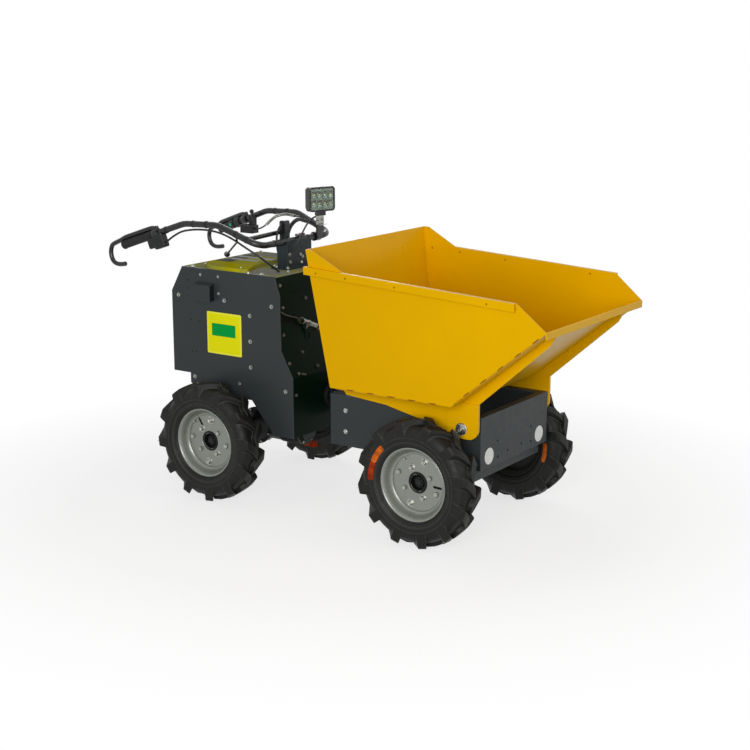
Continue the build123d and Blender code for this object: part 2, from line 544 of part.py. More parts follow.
# release latch across the bulkhead, on a three-cornered bracket
latch_x = BULK_KNEE_X + LATCH_R
bulkhead += rod((latch_x, LATCH_Y0, LATCH_Z0), (latch_x, LATCH_Y1, LATCH_Z1), LATCH_R)
latch_corners = [(0, LATCH_Y0, LATCH_Z0), (0, LATCH_Y1, LATCH_Z1), (0, LATCH_TIP_Y, LATCH_TIP_Z)]
latch_plate = make_face(Polyline(latch_corners, close=True).edges())
bulkhead += Pos(BULK_WAIST_X, 0, 0) * extrude(latch_plate, amount=LATCH_PLATE_T, dir=(1, 0, 0))
nodes["rear_bulkhead"] = bulkhead
battery_x, battery_z = ARCH_REAR_X + BATTERY_SET, ARCH_TOP_Z + PLATE_T
nodes["battery_block"] = zone(battery_x, battery_x + BATTERY_L, battery_z, battery_z + BATTERY_H,
                              BATTERY_W / 2)

# raised lid, rounded towards the right-hand rear, and the small box on the right-hand plate
lid_near_y = -BODY_HALF_W + LID_INSET
lid_corners = [(LID_REAR_X, LID_LEFT_Y), (LID_REAR_X, lid_near_y), (LID_NEAR_X, lid_near_y),
               (LID_BEND_X, LID_BEND_Y), (LID_FRONT_X, LID_LEFT_Y)]
lid = extrude(make_face(Polyline(lid_corners, close=True).edges()), amount=LID_T)
for (x, y), r in zip(lid_corners, LID_RADII):
    lid = fillet(lid.edges().filter_by(Axis.Z).sort_by_distance((x, y, LID_T / 2))[0], r)
nodes["battery_lid"] = Pos(0, 0, BODY_TOP_Z) * lid
box_out_y = -BODY_HALF_W - SIDE_BOX_OUT
box_end = make_face(Polyline([(0, -BODY_HALF_W, SIDE_BOX_Z0), (0, -BODY_HALF_W, SIDE_BOX_Z1),
                              (0, box_out_y, SIDE_BOX_Z1 - SIDE_BOX_SLOPE), (0, box_out_y, SIDE_BOX_Z0)],
                             close=True).edges())
nodes["side_box"] = Pos(SIDE_BOX_X0, 0, 0) * extrude(box_end, amount=SIDE_BOX_X1 - SIDE_BOX_X0, dir=(1, 0, 0))

# ================================================================ centre pivot
# yoke on a roll bearing flange at the bulkhead, knuckle behind the front frame, upright pin through both
KNUCKLE_MID_Z = (KNUCKLE_Z0 + KNUCKLE_Z1) / 2
YOKE_Z0, YOKE_Z1 = KNUCKLE_Z0 - YOKE_GAP - YOKE_T, KNUCKLE_Z1 + YOKE_GAP
YOKE_TOP_Z = YOKE_Z1 + YOKE_T
yoke_back_x = PIVOT_X - PIVOT_BOSS_R - YOKE_BACK_GAP - YOKE_BACK_T
yoke_arm = block(yoke_back_x, PIVOT_X, -YOKE_HALF_W, YOKE_HALF_W, 0.0, YOKE_T)
yoke_arm += rod((PIVOT_X, 0, 0), (PIVOT_X, 0, YOKE_T), YOKE_HALF_W)
yoke = Pos(0, 0, YOKE_Z0) * yoke_arm + Pos(0, 0, YOKE_Z1) * yoke_arm
yoke += block(yoke_back_x, yoke_back_x + YOKE_BACK_T, -YOKE_HALF_W, YOKE_HALF_W, YOKE_Z0, YOKE_TOP_Z)
yoke += rod((BULK_FOOT_X, 0, KNUCKLE_MID_Z), (BULK_FOOT_X + ROLL_FLANGE_T, 0, KNUCKLE_MID_Z), ROLL_FLANGE_R)
yoke += rod((BULK_FOOT_X, 0, KNUCKLE_MID_Z), (yoke_back_x, 0, KNUCKLE_MID_Z), ROLL_SHAFT_R)
yoke -= rod((PIVOT_X, 0, YOKE_Z0), (PIVOT_X, 0, YOKE_TOP_Z), PIVOT_PIN_R)
nodes["pivot_yoke"] = yoke
pin = rod((PIVOT_X, 0, YOKE_Z0 - PIVOT_CAP_T), (PIVOT_X, 0, YOKE_TOP_Z), PIVOT_PIN_R)
nodes["pivot_pin"] = pin + rod((PIVOT_X, 0, YOKE_TOP_Z), (PIVOT_X, 0, YOKE_TOP_Z + PIVOT_CAP_T), PIVOT_CAP_R)
knuckle = rod((PIVOT_X, 0, KNUCKLE_Z0), (PIVOT_X, 0, KNUCKLE_Z1), PIVOT_BOSS_R)
knuckle += rod((PIVOT_X, 0, KNUCKLE_MID_Z), (FRAME_REAR_X, 0, KNUCKLE_MID_Z), KNUCKLE_SHAFT_R)
knuckle += block(FRAME_REAR_X - KNUCKLE_PLATE_T, FRAME_REAR_X, -KNUCKLE_PLATE_W / 2, KNUCKLE_PLATE_W / 2,
                 KNUCKLE_MID_Z - KNUCKLE_PLATE_H / 2, KNUCKLE_MID_Z + KNUCKLE_PLATE_H / 2)
knuckle -= rod((PIVOT_X, 0, KNUCKLE_Z0), (PIVOT_X, 0, KNUCKLE_Z1), PIVOT_PIN_R + PIVOT_RUN)
nodes["pivot_knuckle"] = knuckle

# ================================================================ front frame
frame = block(FRAME_REAR_X, FRAME_FRONT_X, -FRAME_HALF_W, FRAME_HALF_W, FRAME_BOTTOM_Z, FRAME_TOP_Z)
frame_in_y = FRAME_HALF_W - FRAME_T
frame -= block(FRAME_REAR_X + FRAME_T, FRAME_FRONT_X - FRAME_T, -frame_in_y, frame_in_y,
               FRAME_BOTTOM_Z, FRAME_TOP_Z - FRAME_T)
mouth_y = FRAME_HALF_W - FRAME_FLANGE
frame -= block(FRAME_REAR_X + FRAME_FLANGE, FRAME_FRONT_X - FRAME_FLANGE, -mouth_y, mouth_y,
               FRAME_BOTTOM_Z, FRAME_TOP_Z)


def front_hole(y, z):
    return rod((FRAME_FRONT_X - FRAME_FLANGE, y, z), (FRAME_FRONT_X, y, z), HOLE_R)


for sy in (-1, 1):
    for sz in (-1, 1):
        frame -= front_hole(sy * HOLE_DY / 2, HOLE_Z + sz * HOLE_DZ / 2)
    frame -= front_hole(sy * PAIR_DY / 2, PAIR_Z)
    frame -= cross_rod(TIP_PIN_X, TIP_PIN_Z, TIP_PIN_R, sy * mouth_y, sy * BRACKET_MID_Y)
nodes["front_frame"] = frame
cross_plate_x = FRAME_FRONT_X - CROSS_PLATE_SET
nodes["front_cross_plate"] = block(cross_plate_x - CROSS_PLATE_T, cross_plate_x, -frame_in_y, frame_in_y,
                                   CROSS_PLATE_Z0, CROSS_PLATE_Z1)

# tipping pins, fixed in the frame's side plates
BRACKET_OUT_Y = BRACKET_MID_Y + BRACKET_T / 2 + PIN_PLATE_T
pin_head_y = BRACKET_OUT_Y + TIP_PIN_SIDE
pin = cross_rod(TIP_PIN_X, TIP_PIN_Z, TIP_PIN_R, frame_in_y - TIP_PIN_IN, pin_head_y)
pin += cross_rod(TIP_PIN_X, TIP_PIN_Z, TIP_PIN_HEAD_R, pin_head_y, pin_head_y + TIP_PIN_HEAD_T)
nodes["tip_pins"] = Compound([mirrored(pin), pin])

# ================================================================ skip
BX, BY, BZ = SKIP_BACK_TOP
LX, LZ = SKIP_LIP


def wall_y(x, z):
    """Half width over the side walls' outer faces."""
    return BY + WALL_LEAN * (z - BZ) + WALL_TAPER * (x - BX)


def prism_between_walls(points, inset=0.0):
    """A side outline in X and Z, carried out to the leaning side walls' faces."""
    body = xz(points, SKIP_SPAN)
    reach = 2 * (LX - BX)
    for sy in (-1, 1):
        # outer face of this wall, as a plane through three of its points
        p = [Vector(x, sy * (wall_y(x, z) - inset), z) for x, z in ((BX, BZ), (BX, SKIP_FLOOR_Z), (LX, LZ))]
        n = (p[1] - p[0]).cross(p[2] - p[0]).normalized()
        if n.Y * sy < 0:
            n = -n
        outside = Box(2 * reach, 2 * reach, SKIP_SPAN, align=(Align.CENTER, Align.CENTER, Align.MIN))
        body -= Plane(origin=p[0], z_dir=n) * outside
    return body


def rail_z(x):
    """Height of the side rails."""
    return RAIL_FRONT_Z + (x - RAIL_FRONT_X) * RAIL_SLOPE


spout_slope = (LZ - SKIP_FLOOR_Z) / (LX - SKIP_FOLD_X)
back_slope = (BX - SKIP_BACK_FOOT_X) / (BZ - SKIP_FLOOR_Z)
tub_outline = [(BX, BZ), (SKIP_BACK_FOOT_X, SKIP_FLOOR_Z), (SKIP_FOLD_X, SKIP_FLOOR_Z), (LX, LZ),
               (RAIL_FRONT_X, RAIL_FRONT_Z), (WING_X, rail_z(WING_X)), (BX + WING_FLAT, BZ)]
# the inside runs out through the open top and mouth, as high again as the skip
HIGH_Z = BZ + (BZ - SKIP_FLOOR_Z)
open_outline = [(SKIP_BACK_FOOT_X, SKIP_FLOOR_Z), (SKIP_FOLD_X, SKIP_FLOOR_Z),
                (LX + (HIGH_Z - LZ) / spout_slope, HIGH_Z), (BX + back_slope * (HIGH_Z - BZ), HIGH_Z)]
open_face = make_face(Polyline([(x, 0, z) for x, z in open_outline], close=True).edges())
open_face = offset(open_face, amount=-SHEET_T, kind=Kind.INTERSECTION)
open_edges = open_face.faces()[0].outer_wire().order_edges()
corner_list = [(e.position_at(0).X, e.position_at(0).Z) for e in open_edges]
tub = prism_between_walls(tub_outline) - prism_between_walls(corner_list, SHEET_T)

# rails: the sheet folded out and down along the tops of the side walls
rail_x0, rail_x1 = RAIL_REAR_X - CUT_SPARE, RAIL_FRONT_X + CUT_SPARE
rail_low_z, rail_high_z = RAIL_FRONT_Z - RAIL_CUT_L, rail_z(RAIL_REAR_X) + RAIL_CUT_L
band = [(RAIL_REAR_X, rail_z(RAIL_REAR_X)), (RAIL_FRONT_X, RAIL_FRONT_Z),
        (RAIL_FRONT_X, RAIL_FRONT_Z - RAIL_DROP), (RAIL_REAR_X, rail_z(RAIL_REAR_X) - RAIL_DROP)]
under_band = [(rail_x0, rail_z(rail_x0) - SHEET_T), (rail_x1, rail_z(rail_x1) - SHEET_T),
              (rail_x1, rail_low_z), (rail_x0, rail_low_z)]
rails = prism_between_walls(band, -RAIL_OUT) - prism_between_walls(under_band, SHEET_T - RAIL_OUT)
rails -= prism_between_walls([(rail_x0, rail_low_z), (rail_x1, rail_low_z), (rail_x1, rail_high_z),
                              (rail_x0, rail_high_z)], SHEET_T)
tub += rails
# lip folded down across the spout's end
tub += prism_between_walls([(LX, LZ), (LX, LZ - LIP_FOLD), (LX - SHEET_T, LZ - LIP_FOLD),
                            (LX - SHEET_T, LZ - SHEET_T * spout_slope)])
for x in SIDE_HOLE_X:
    tub -= cross_rod(x, rail_z(x) - SIDE_HOLE_DROP, SIDE_HOLE_R, -SKIP_SPAN, SKIP_SPAN)
for sy in (-1, 1):
    tub -= rod((BX - CUT_SPARE, sy * BACK_HOLE_Y, BACK_HOLE_Z),
               (BX + 3 * CUT_SPARE, sy * BACK_HOLE_Y, BACK_HOLE_Z), SIDE_HOLE_R)
nodes["skip_tub"] = tub


def spout_z(x):
    return SKIP_FLOOR_Z + (x - SKIP_FOLD_X) * spout_slope


rib_x = LX - SHEET_T - RIB_GAP
bracket_outline = [
    (BRACKET_REAR_X - BRACKET_TAIL, SKIP_FLOOR_Z), (SKIP_FOLD_X, SKIP_FLOOR_Z), (rib_x, spout_z(rib_x)),
    RIB_TIP,
    (BRACKET_FRONT_X, SKIP_FLOOR_Z), (BRACKET_FRONT_X, BRACKET_BOTTOM_Z), (TIP_PIN_X, BRACKET_BOTTOM_Z),
    (BRACKET_STEP_X, BRACKET_STEP_Z), (BRACKET_REAR_X + BRACKET_HEEL_L, BRACKET_REAR_Z - BRACKET_HEEL),
    (BRACKET_REAR_X, BRACKET_REAR_Z)]
for side, sy in (("right", -1), ("left", 1)):
    plate = xz(bracket_outline, BRACKET_T / 2, sy * BRACKET_MID_Y)
    thick_y = sy * (BRACKET_MID_Y + BRACKET_T / 2 + PIN_PLATE_T / 2)
    plate += xz(bracket_outline, PIN_PLATE_T / 2, thick_y) & zone(
        TIP_PIN_X - PIN_PLATE_L, BRACKET_FRONT_X, BRACKET_BOTTOM_Z, SKIP_FLOOR_Z, BRACKET_OUT_Y)
    nose = plate.edges().filter_by(Axis.Y).sort_by_distance((BRACKET_FRONT_X, thick_y, BRACKET_BOTTOM_Z))[0]
    plate = fillet(nose, BRACKET_NOSE_R)
    plate -= cross_rod(TIP_PIN_X, TIP_PIN_Z, TIP_PIN_R + TIP_PIN_RUN, sy * FRAME_HALF_W, sy * pin_head_y)
    nodes[f"skip_bracket_{side}"] = plate

# ================================================================ handlebar
half_bar = pipe(BAR_POINTS, BAR_BENDS, BAR_R)
stay_x = CROSS_X - BAR_R
stay_y0, stay_y1 = BRACE_Y1 - STAY_W / 2, BRACE_Y1 + STAY_W / 2
stay = block(stay_x - STAY_T, stay_x, stay_y0, stay_y1, CROSS_Z - BAR_R, STAY_Z1)
stay += block(stay_x - STAY_T, CROSS_X, stay_y0, stay_y1, CROSS_Z - BAR_R, CROSS_Z)
stay = fillet(stay.edges().filter_by(Axis.Y).sort_by(Axis.Z)[-2:], STAY_T / 3)
brace = rod((BRACE_X, BRACE_Y0, BRACE_Z0), (BRACE_X, BRACE_Y1, BRACE_Z1), BRACE_R)
nodes["handlebar"] = half_bar + mirrored(half_bar) + stay + brace

end = Vector(*BAR_POINTS[-1])
run = (end - Vector(*BAR_POINTS[-2])).normalized()
side_on = Vector(0, 0, 1).cross(run).normalized()
up = run.cross(side_on).normalized()


def along_bar(back, rise=0.0):
    """A point of the left-hand bar, back from the end of its grip and above its axis."""
    return end - run * back + up * rise


def on_bar(back_0, back_1, r):
    return rod(tuple(along_bar(back_0)), tuple(along_bar(back_1)), r)


grip = on_bar(GRIP_L, -GRIP_END_T, GRIP_R) - on_bar(GRIP_L + BAR_R, 0.0, BAR_R)
nodes["grips"] = Compound([grip, mirrored(grip)])

# hand guard: a thin bar over each grip, hooked down behind the hand
CLAMP_BACK = GRIP_L + CLAMP_L / 2 + CLAMP_GAP
clamp_0, clamp_1 = CLAMP_BACK - CLAMP_L / 2, CLAMP_BACK + CLAMP_L / 2
guard_rise = GRIP_R + HOOK_R + HOOK_GAP
hook_points = [along_bar(CLAMP_BACK + HOOK_START, guard_rise), along_bar(CLAMP_BACK - HOOK_TOP_L, guard_rise),
               (HOOK_TAIL_X, HOOK_Y, HOOK_HIGH_Z), (HOOK_TAIL_X + HOOK_TURN_L, HOOK_Y, HOOK_LOW_Z - HOOK_DIP),
               (HOOK_TAIL_X + HOOK_TAIL_L, HOOK_Y, HOOK_LOW_Z)]
hook = pipe([tuple(p) for p in hook_points], HOOK_BENDS, HOOK_R)
collar = on_bar(clamp_0, clamp_1, BAR_R + CLAMP_T)
collar += Plane(origin=along_bar(CLAMP_BACK, guard_rise - CLAMP_LUG_H / 2), x_dir=run, z_dir=up) * Box(
    CLAMP_L, CLAMP_LUG_W, CLAMP_LUG_H)
guard = hook + (collar - on_bar(clamp_0 - CLAMP_L, clamp_1 + CLAMP_L, BAR_R))
nodes["hand_guards"] = Compound([guard, mirrored(guard)])

# post under the cross tube: a folded sheet open to the rear, on a foot plate
post_x0, post_x1 = POST_X - POST_L / 2, POST_X + POST_L / 2
post = zone(post_x0, post_x1, BODY_TOP_Z, CROSS_Z, POST_W / 2)
post -= zone(post_x0, post_x1 - PLATE_T, BODY_TOP_Z, CROSS_Z - BAR_R - PLATE_T, POST_W / 2 - PLATE_T)
foot_x0, foot_x1 = POST_X - POST_FOOT_L / 2, POST_X + POST_FOOT_L / 2
post += zone(foot_x0, foot_x1, BODY_TOP_Z, BODY_TOP_Z + POST_FOOT_T, POST_FOOT_W / 2)
post -= cross_rod(CROSS_X, CROSS_Z, BAR_R, -POST_W, POST_W)
post -= stay
nodes["handlebar_post"] = post

# ================================================================ controls
# switch block under the right-hand bar, made on the left and mirrored
across_bar = Plane(origin=end, x_dir=run, z_dir=up)


def under_bar(back_0, back_1, width, top, height):
    """A box with round edges below the bar, between two distances from the grip's end."""
    place = Pos(-(back_0 + back_1) / 2, 0, -top - height / 2)
    return across_bar * place * fillet(Box(back_1 - back_0, width, height).edges(), CONTROL_R)


switch_front = clamp_1 + SWITCH_AHEAD
switch = under_bar(switch_front - SWITCH_L, switch_front, SWITCH_W, 0.0, SWITCH_H)
switch += under_bar(switch_front - SWITCH_L - BUTTON_L + CONTROL_R, switch_front - SWITCH_L + 2 * CONTROL_R,
                    BUTTON_W, BUTTON_OUT, BUTTON_H)
switch -= on_bar(0.0, 2 * GRIP_L, BAR_R)
switch -= on_bar(clamp_0, clamp_1, BAR_R + CLAMP_T)
switch -= on_bar(0.0, GRIP_L, GRIP_R)
# drive control with its lever, hung from the left-hand bar
control = fillet(block(BOX_X0, BOX_X1, BOX_Y0, BOX_Y1, BOX_Z0, BOX_Z1).edges().filter_by(Axis.Z), CONTROL_R)
box_mid_x = (BOX_X0 + BOX_X1) / 2
control += block(box_mid_x - HANGER_L / 2, box_mid_x + HANGER_L / 2, BOX_Y1 - HANGER_T / 2,
                 BOX_Y1 + HANGER_T / 2, BOX_Z1 - HANGER_T, BOX_Z1 + HANGER_UP)
control -= on_bar(0.0, 3 * GRIP_L, BAR_R)
control += rod(LEVER_FOOT, LEVER_TOP, LEVER_R) + Pos(*LEVER_TOP) * Sphere(KNOB_R)
nodes["bar_controls"] = Compound([mirrored(switch), control])


# ================================================================ held cables
def cable(name, points, diameter):
    """A cable along its route: straight runs joined by arcs as large as the runs allow."""
    p = [Vector(*q) for q in points]
    runs = [b - a for a, b in zip(p, p[1:])]
    radii = [ARC_SHARE * min(a.length, b.length) / tan(radians(a.get_angle(b)) / 2)
             for a, b in zip(runs, runs[1:])]
    length = sum(run.length for run in runs)
    print(name, "arc radii", [round(r) for r in radii], "length", round(length))
    return pipe(points, radii, diameter / 2)


cord_end = Vector(*PULL_CORD[1])
cord_dir = (cord_end - Vector(*PULL_CORD[0])).normalized()
boot = Plane(origin=cord_end + cord_dir * BOOT_L, z_dir=-cord_dir) * Cone(
    BOOT_R1, BOOT_R0, BOOT_L, align=(Align.CENTER, Align.CENTER, Align.MIN))
pull_cord = rod(*PULL_CORD, CORD_D / 2) + rod(CORD_LINK_TOP, PULL_CORD[0], CORD_D) + boot


def trimmed(piece):
    """A cable cut back to the faces of what it enters."""
    for name in ("handlebar", "handlebar_post", "top_cover"):
        piece -= nodes[name]
    return piece.solids().sort_by(SortBy.VOLUME)[-1]


nodes["control_cables"] = Compound([trimmed(piece) for piece in (
    cable("switch cable", SWITCH_CABLE, CABLE_D), cable("post cable", POST_CABLE, CABLE_D),
    cable("loom", WIRING_LOOM, LOOM_D), cable("lamp cable", LAMP_CABLE, LAMP_CABLE_D), pull_cord)])

# ================================================================ work lamp
place = Pos(LAMP_X, LAMP_Y, LAMP_Z) * Rot(0, 0, LAMP_TURN)
shell = fillet(Box(LAMP_D, LAMP_W, LAMP_H).edges().filter_by(Axis.X), LAMP_CORNER)
shell = fillet(shell.faces().sort_by(Axis.X)[0].edges(), LAMP_EDGE)
lens_w, lens_h = LAMP_W - 2 * LAMP_RIM, LAMP_H - 2 * LAMP_RIM
shell -= Pos(LAMP_D / 2, 0, 0) * Box(2 * LENS_T, lens_w, lens_h)
fin_pitch = (LAMP_W - 2 * LAMP_CORNER) / (FIN_COUNT - 1)
for k in range(FIN_COUNT):
    y = (k - (FIN_COUNT - 1) / 2) * fin_pitch
    shell += block(-LAMP_D / 2 - FIN_L, -LAMP_D / 2 + LENS_T, y - FIN_T / 2, y + FIN_T / 2,
                   -FIN_H / 2, FIN_H / 2)
foot_z = -LAMP_H / 2 - LAMP_FOOT_H
shell += block(-LAMP_FOOT_L / 2, LAMP_FOOT_L / 2, -LAMP_FOOT_W / 2, LAMP_FOOT_W / 2,
               foot_z, -LAMP_H / 2 + LENS_T)
nodes["lamp_housing"] = place * shell
nodes["lamp_lens"] = place * Pos(LAMP_D / 2 - LENS_T / 2, 0, 0) * Box(LENS_T, lens_w, lens_h)
lamp_bracket = block(LAMP_X - LAMP_PLATE_T, LAMP_X, LAMP_Y - LAMP_PLATE_W / 2, LAMP_Y + LAMP_PLATE_W / 2,
                     CROSS_Z, LAMP_Z + foot_z)
lamp_bracket += block(CROSS_X - BAR_R, LAMP_X, LAMP_Y - LAMP_CLAMP_L / 2, LAMP_Y + LAMP_CLAMP_L / 2,
                      CROSS_Z - LAMP_CLAMP_T, CROSS_Z + LAMP_CLAMP_T)
lamp_bracket += cross_rod(CROSS_X, CROSS_Z, BAR_R + LAMP_CLAMP_T, LAMP_Y - LAMP_CLAMP_L / 2,
                          LAMP_Y + LAMP_CLAMP_L / 2)
nodes["lamp_bracket"] = lamp_bracket - cross_rod(CROSS_X, CROSS_Z, BAR_R, 0.0, LAMP_Y + LAMP_CLAMP_L)

os.makedirs("parts", exist_ok=True)
for name, piece in nodes.items():
    if isinstance(piece, (list, ShapeList)):
        piece = Compound(list(piece))
    export_step(piece, f"parts/{name}.step")
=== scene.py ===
from math import cos, pi, radians, sin

import bmesh
import bpy
from mathutils import Matrix, Vector
from mathutils.bvhtree import BVHTree


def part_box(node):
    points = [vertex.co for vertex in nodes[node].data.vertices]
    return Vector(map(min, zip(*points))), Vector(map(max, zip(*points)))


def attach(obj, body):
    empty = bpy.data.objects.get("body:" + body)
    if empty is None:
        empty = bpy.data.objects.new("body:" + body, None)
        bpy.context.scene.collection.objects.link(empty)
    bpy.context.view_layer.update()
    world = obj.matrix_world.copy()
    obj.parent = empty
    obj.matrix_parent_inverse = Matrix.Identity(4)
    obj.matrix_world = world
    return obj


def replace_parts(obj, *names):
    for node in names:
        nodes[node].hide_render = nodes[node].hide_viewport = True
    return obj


# Walk-behind site dumper. The frame is in metres: +X towards the skip's lip, +Y to the
# machine's left, +Z up. Small pieces are drawn in millimetres and set down with fit().

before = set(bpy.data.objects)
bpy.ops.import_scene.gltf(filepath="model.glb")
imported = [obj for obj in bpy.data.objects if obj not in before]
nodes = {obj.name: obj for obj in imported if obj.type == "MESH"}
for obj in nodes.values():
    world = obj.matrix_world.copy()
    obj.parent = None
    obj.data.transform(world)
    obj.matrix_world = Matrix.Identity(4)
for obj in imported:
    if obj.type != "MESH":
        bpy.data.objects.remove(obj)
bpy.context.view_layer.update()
MM = 0.001


# -------------------------- mesh kit
def fit(origin, z_axis, x_axis=None):
    """From local millimetres to metres: local Z along z_axis, local X near x_axis."""
    z = Vector(z_axis).normalized()
    if x_axis is None:
        x_axis = (1, 0, 0) if abs(z.x) < 0.9 else (0, 1, 0)
    x = Vector(x_axis)
    x = (x - z * x.dot(z)).normalized()
    m = (Matrix((x, z.cross(x), z)).transposed() * MM).to_4x4()
    m.translation = Vector(origin)
    return m


def add_object(name, data, place=(0, 0, 0), view=None):
    """A new object in the scene. A lamp or camera looks along view."""
    obj = bpy.data.objects.new(name, data)
    obj.location = place
    if view:
        obj.rotation_euler = view.to_track_quat("-Z", "Y").to_euler()
    bpy.context.scene.collection.objects.link(obj)
    return obj


class Form:
    """Gathers faces, then becomes one object. Points are in the units of the matrix `at`."""

    def __init__(self):
        self.verts, self.faces, self.slots = [], [], []

    def add(self, verts, faces, at=None, slot=0):
        start = len(self.verts)
        self.verts += [at @ Vector(v) if at else Vector(v) for v in verts]
        self.faces += [tuple(start + i for i in f) for f in faces]
        self.slots += [slot] * len(faces)

    def lathe(self, profile, count, at=None, slot=0, closed=False, arc=None):
        """(radius, height) points turned about local Z, all round or through an arc."""
        verts, rings = [], []
        a0, a1 = arc or (0.0, 2 * pi)
        steps = count + 1 if arc else count
        for r, z in profile:
            if r < 1e-7:
                rings.append([len(verts)] * steps)
                verts.append((0, 0, z))
            else:
                rings.append(list(range(len(verts), len(verts) + steps)))
                angles = [a0 + (a1 - a0) * k / count for k in range(steps)]
                verts += [(r * cos(a), r * sin(a), z) for a in angles]
        faces = []
        for a, b in list(zip(rings, rings[1:])) + ([(rings[-1], rings[0])] if closed else []):
            for k in range(count):
                k2 = (k + 1) % steps
                face = tuple(dict.fromkeys((a[k], a[k2], b[k2], b[k])))
                if len(face) > 2:
                    faces.append(face)
        if arc and closed:
            faces += [tuple(r[0] for r in rings), tuple(r[-1] for r in reversed(rings))]
        self.add(verts, faces, at, slot)

    def ring(self, r0, r1, height, count, at, slot=0, arc=None):
        """A flat ring, or a disc when r0 is 0."""
        self.lathe([(r0, 0), (r1, 0), (r1, height), (r0, height)], count, at, slot, True, arc)

    def loft(self, sections, at=None, slot=0):
        """Rings of equally many points, joined in order and capped."""
        n, last = len(sections[0]), (len(sections) - 1) * len(sections[0])
        faces = [(j + k, j + (k + 1) % n, j + n + (k + 1) % n, j + n + k)
                 for j in range(0, last, n) for k in range(n)]
        faces += [tuple(reversed(range(n))), tuple(range(last, last + n))]
        self.add([p for s in sections for p in s], faces, at, slot)

    def plate(self, outline, z0, z1, at=None, slot=0, ease=0.0):
        """A flat outline carried from z0 to z1, with eased top and bottom edges."""
        rows = [(outline, z0), (outline, z1)]
        if ease:
            inner = shrink(outline, ease)
            rows = [(inner, z0), (outline, z0 + ease), (outline, z1 - ease), (inner, z1)]
        self.loft([[(x, y, z) for x, y in line] for line, z in rows], at, slot)

    def block(self, size, at, slot=0, ease=0.8):
        x, y, z = (s / 2 for s in size)
        self.plate([(-x, -y), (x, -y), (x, y), (-x, y)], -z, z, at, slot, ease)

    def tube(self, path, radius, sides=12, slot=0):
        """A round section along a path. The radius is a number or one for each point."""
        points = [Vector(p) for p in path]
        radii = radius if isinstance(radius, list) else [radius] * len(points)
        turns = [2 * pi * k / sides for k in range(sides)]
        side, sections = None, []
        for i, (p, r) in enumerate(zip(points, radii)):
            t = (points[min(i + 1, len(points) - 1)] - points[max(i - 1, 0)]).normalized()
            side = side or t.orthogonal()
            side = (side - t * side.dot(t)).normalized()
            up = t.cross(side)
            sections.append([p + (side * cos(a) + up * sin(a)) * r for a in turns])
        self.loft(sections, slot=slot)

    def make(self, name, body, materials, slot_name, angle=32.0):
        """The object, smooth where faces meet at less than the angle."""
        mesh = bpy.data.meshes.new(name)
        mesh.from_pydata([tuple(v) for v in self.verts], [], self.faces)
        for m in materials:
            mesh.materials.append(m)
        mesh.polygons.foreach_set("material_index", self.slots)
        bm = bmesh.new()
        bm.from_mesh(mesh)
        bmesh.ops.recalc_face_normals(bm, faces=bm.faces)
        for f in bm.faces:
            f.smooth = True
        for e in bm.edges:
            e.smooth = len(e.link_faces) == 2 and e.calc_face_angle(0) < radians(angle)
        bm.to_mesh(mesh)
        bm.free()
        obj = add_object(name, mesh)
        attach(obj, body)
        return obj


def shrink(outline, d):
    """A convex or gently concave outline, moved in by d. Counter-clockwise."""
    out = []
    n = len(outline)
    for i in range(n):
        p0, p1, p2 = (Vector(outline[(i + k) % n]) for k in (-1, 0, 1))
        a, b = (p1 - p0).normalized(), (p2 - p1).normalized()
        na, nb = Vector((-a.y, a.x)), Vector((-b.y, b.x))
        m = na + nb
        out.append(tuple(p1 + m / max(m.dot(na), 0.3) * d))
    return out


def rounded(w, h, r, steps=6):
    """A rectangle with round corners, counter-clockwise about its middle."""
    out = []
    x, y = w / 2 - r, h / 2 - r
    for cx, cy, a0 in ((x, y, 0), (-x, y, 90), (-x, -y, 180), (x, -y, 270)):
        turns = [radians(a0 + 90 * k / steps) for k in range(steps + 1)]
        out += [(cx + r * cos(a), cy + r * sin(a)) for a in turns]
    return out


def smooth_path(points, per=10):
    """A Catmull-Rom line through given points."""
    p = [Vector(q) for q in points]
    p = [p[0] * 2 - p[1]] + p + [p[-1] * 2 - p[-2]]
    out = []
    for i in range(1, len(p) - 2):
        a, b, c, d = p[i - 1:i + 3]
        for t in (k / per for k in range(per)):
            cubic = (3 * b - a - 3 * c + d) * t ** 3
            out.append(0.5 * (2 * b + (c - a) * t + (2 * a - 5 * b + 4 * c - d) * t * t + cubic))
    return out + [p[-2]]


def spaced(path, step):
    """Points at even steps along a path, with the direction there."""
    out, left = [], 0.0
    for a, b in zip(path, path[1:]):
        length = (b - a).length
        while left <= length:
            out.append((a.lerp(b, left / length), (b - a).normalized()))
            left += step
        left -= length
    return out


# -------------------------- materials
DUST, SCUFF_AND_HIGHLIGHT = (72, 70, 64), (96, 95, 88)     # dry dust, and the pale tone of rubber edges: part wear, part painted highlight


def tone(rgb, gain=1.0):
    """An sRGB colour, 0 to 255, as the linear one that shaders take, made lighter by gain."""
    part = [v / 255 for v in rgb]
    linear = [v / 12.92 if v <= 0.04045 else ((v + 0.055) / 1.055) ** 2.4 for v in part]
    return (*(v * gain for v in linear), 1.0)


class Nodes:
    """The node tree of a material or of the world."""

    def __init__(self, owner):
        owner.use_nodes = True
        self.tree = owner.node_tree

    def feed(self, socket, value):
        """Sets an input, or links it when the value is another node's output."""
        if isinstance(value, bpy.types.NodeSocket):
            self.tree.links.new(value, socket)
        else:
            socket.default_value = value

    def node(self, kind, inputs=None, **settings):
        n = self.tree.nodes.new(kind)
        for key, value in settings.items():
            setattr(n, key, value)
        for key, value in (inputs or {}).items():
            self.feed(n.inputs[key], value)
        return n

    def ramp(self, value, lo, hi, a=0.0, b=1.0):
        """Maps lo..hi of a value to a..b."""
        ends = {"Value": value, "From Min": lo, "From Max": hi, "To Min": a, "To Max": b}
        return self.node("ShaderNodeMapRange", ends).outputs["Result"]


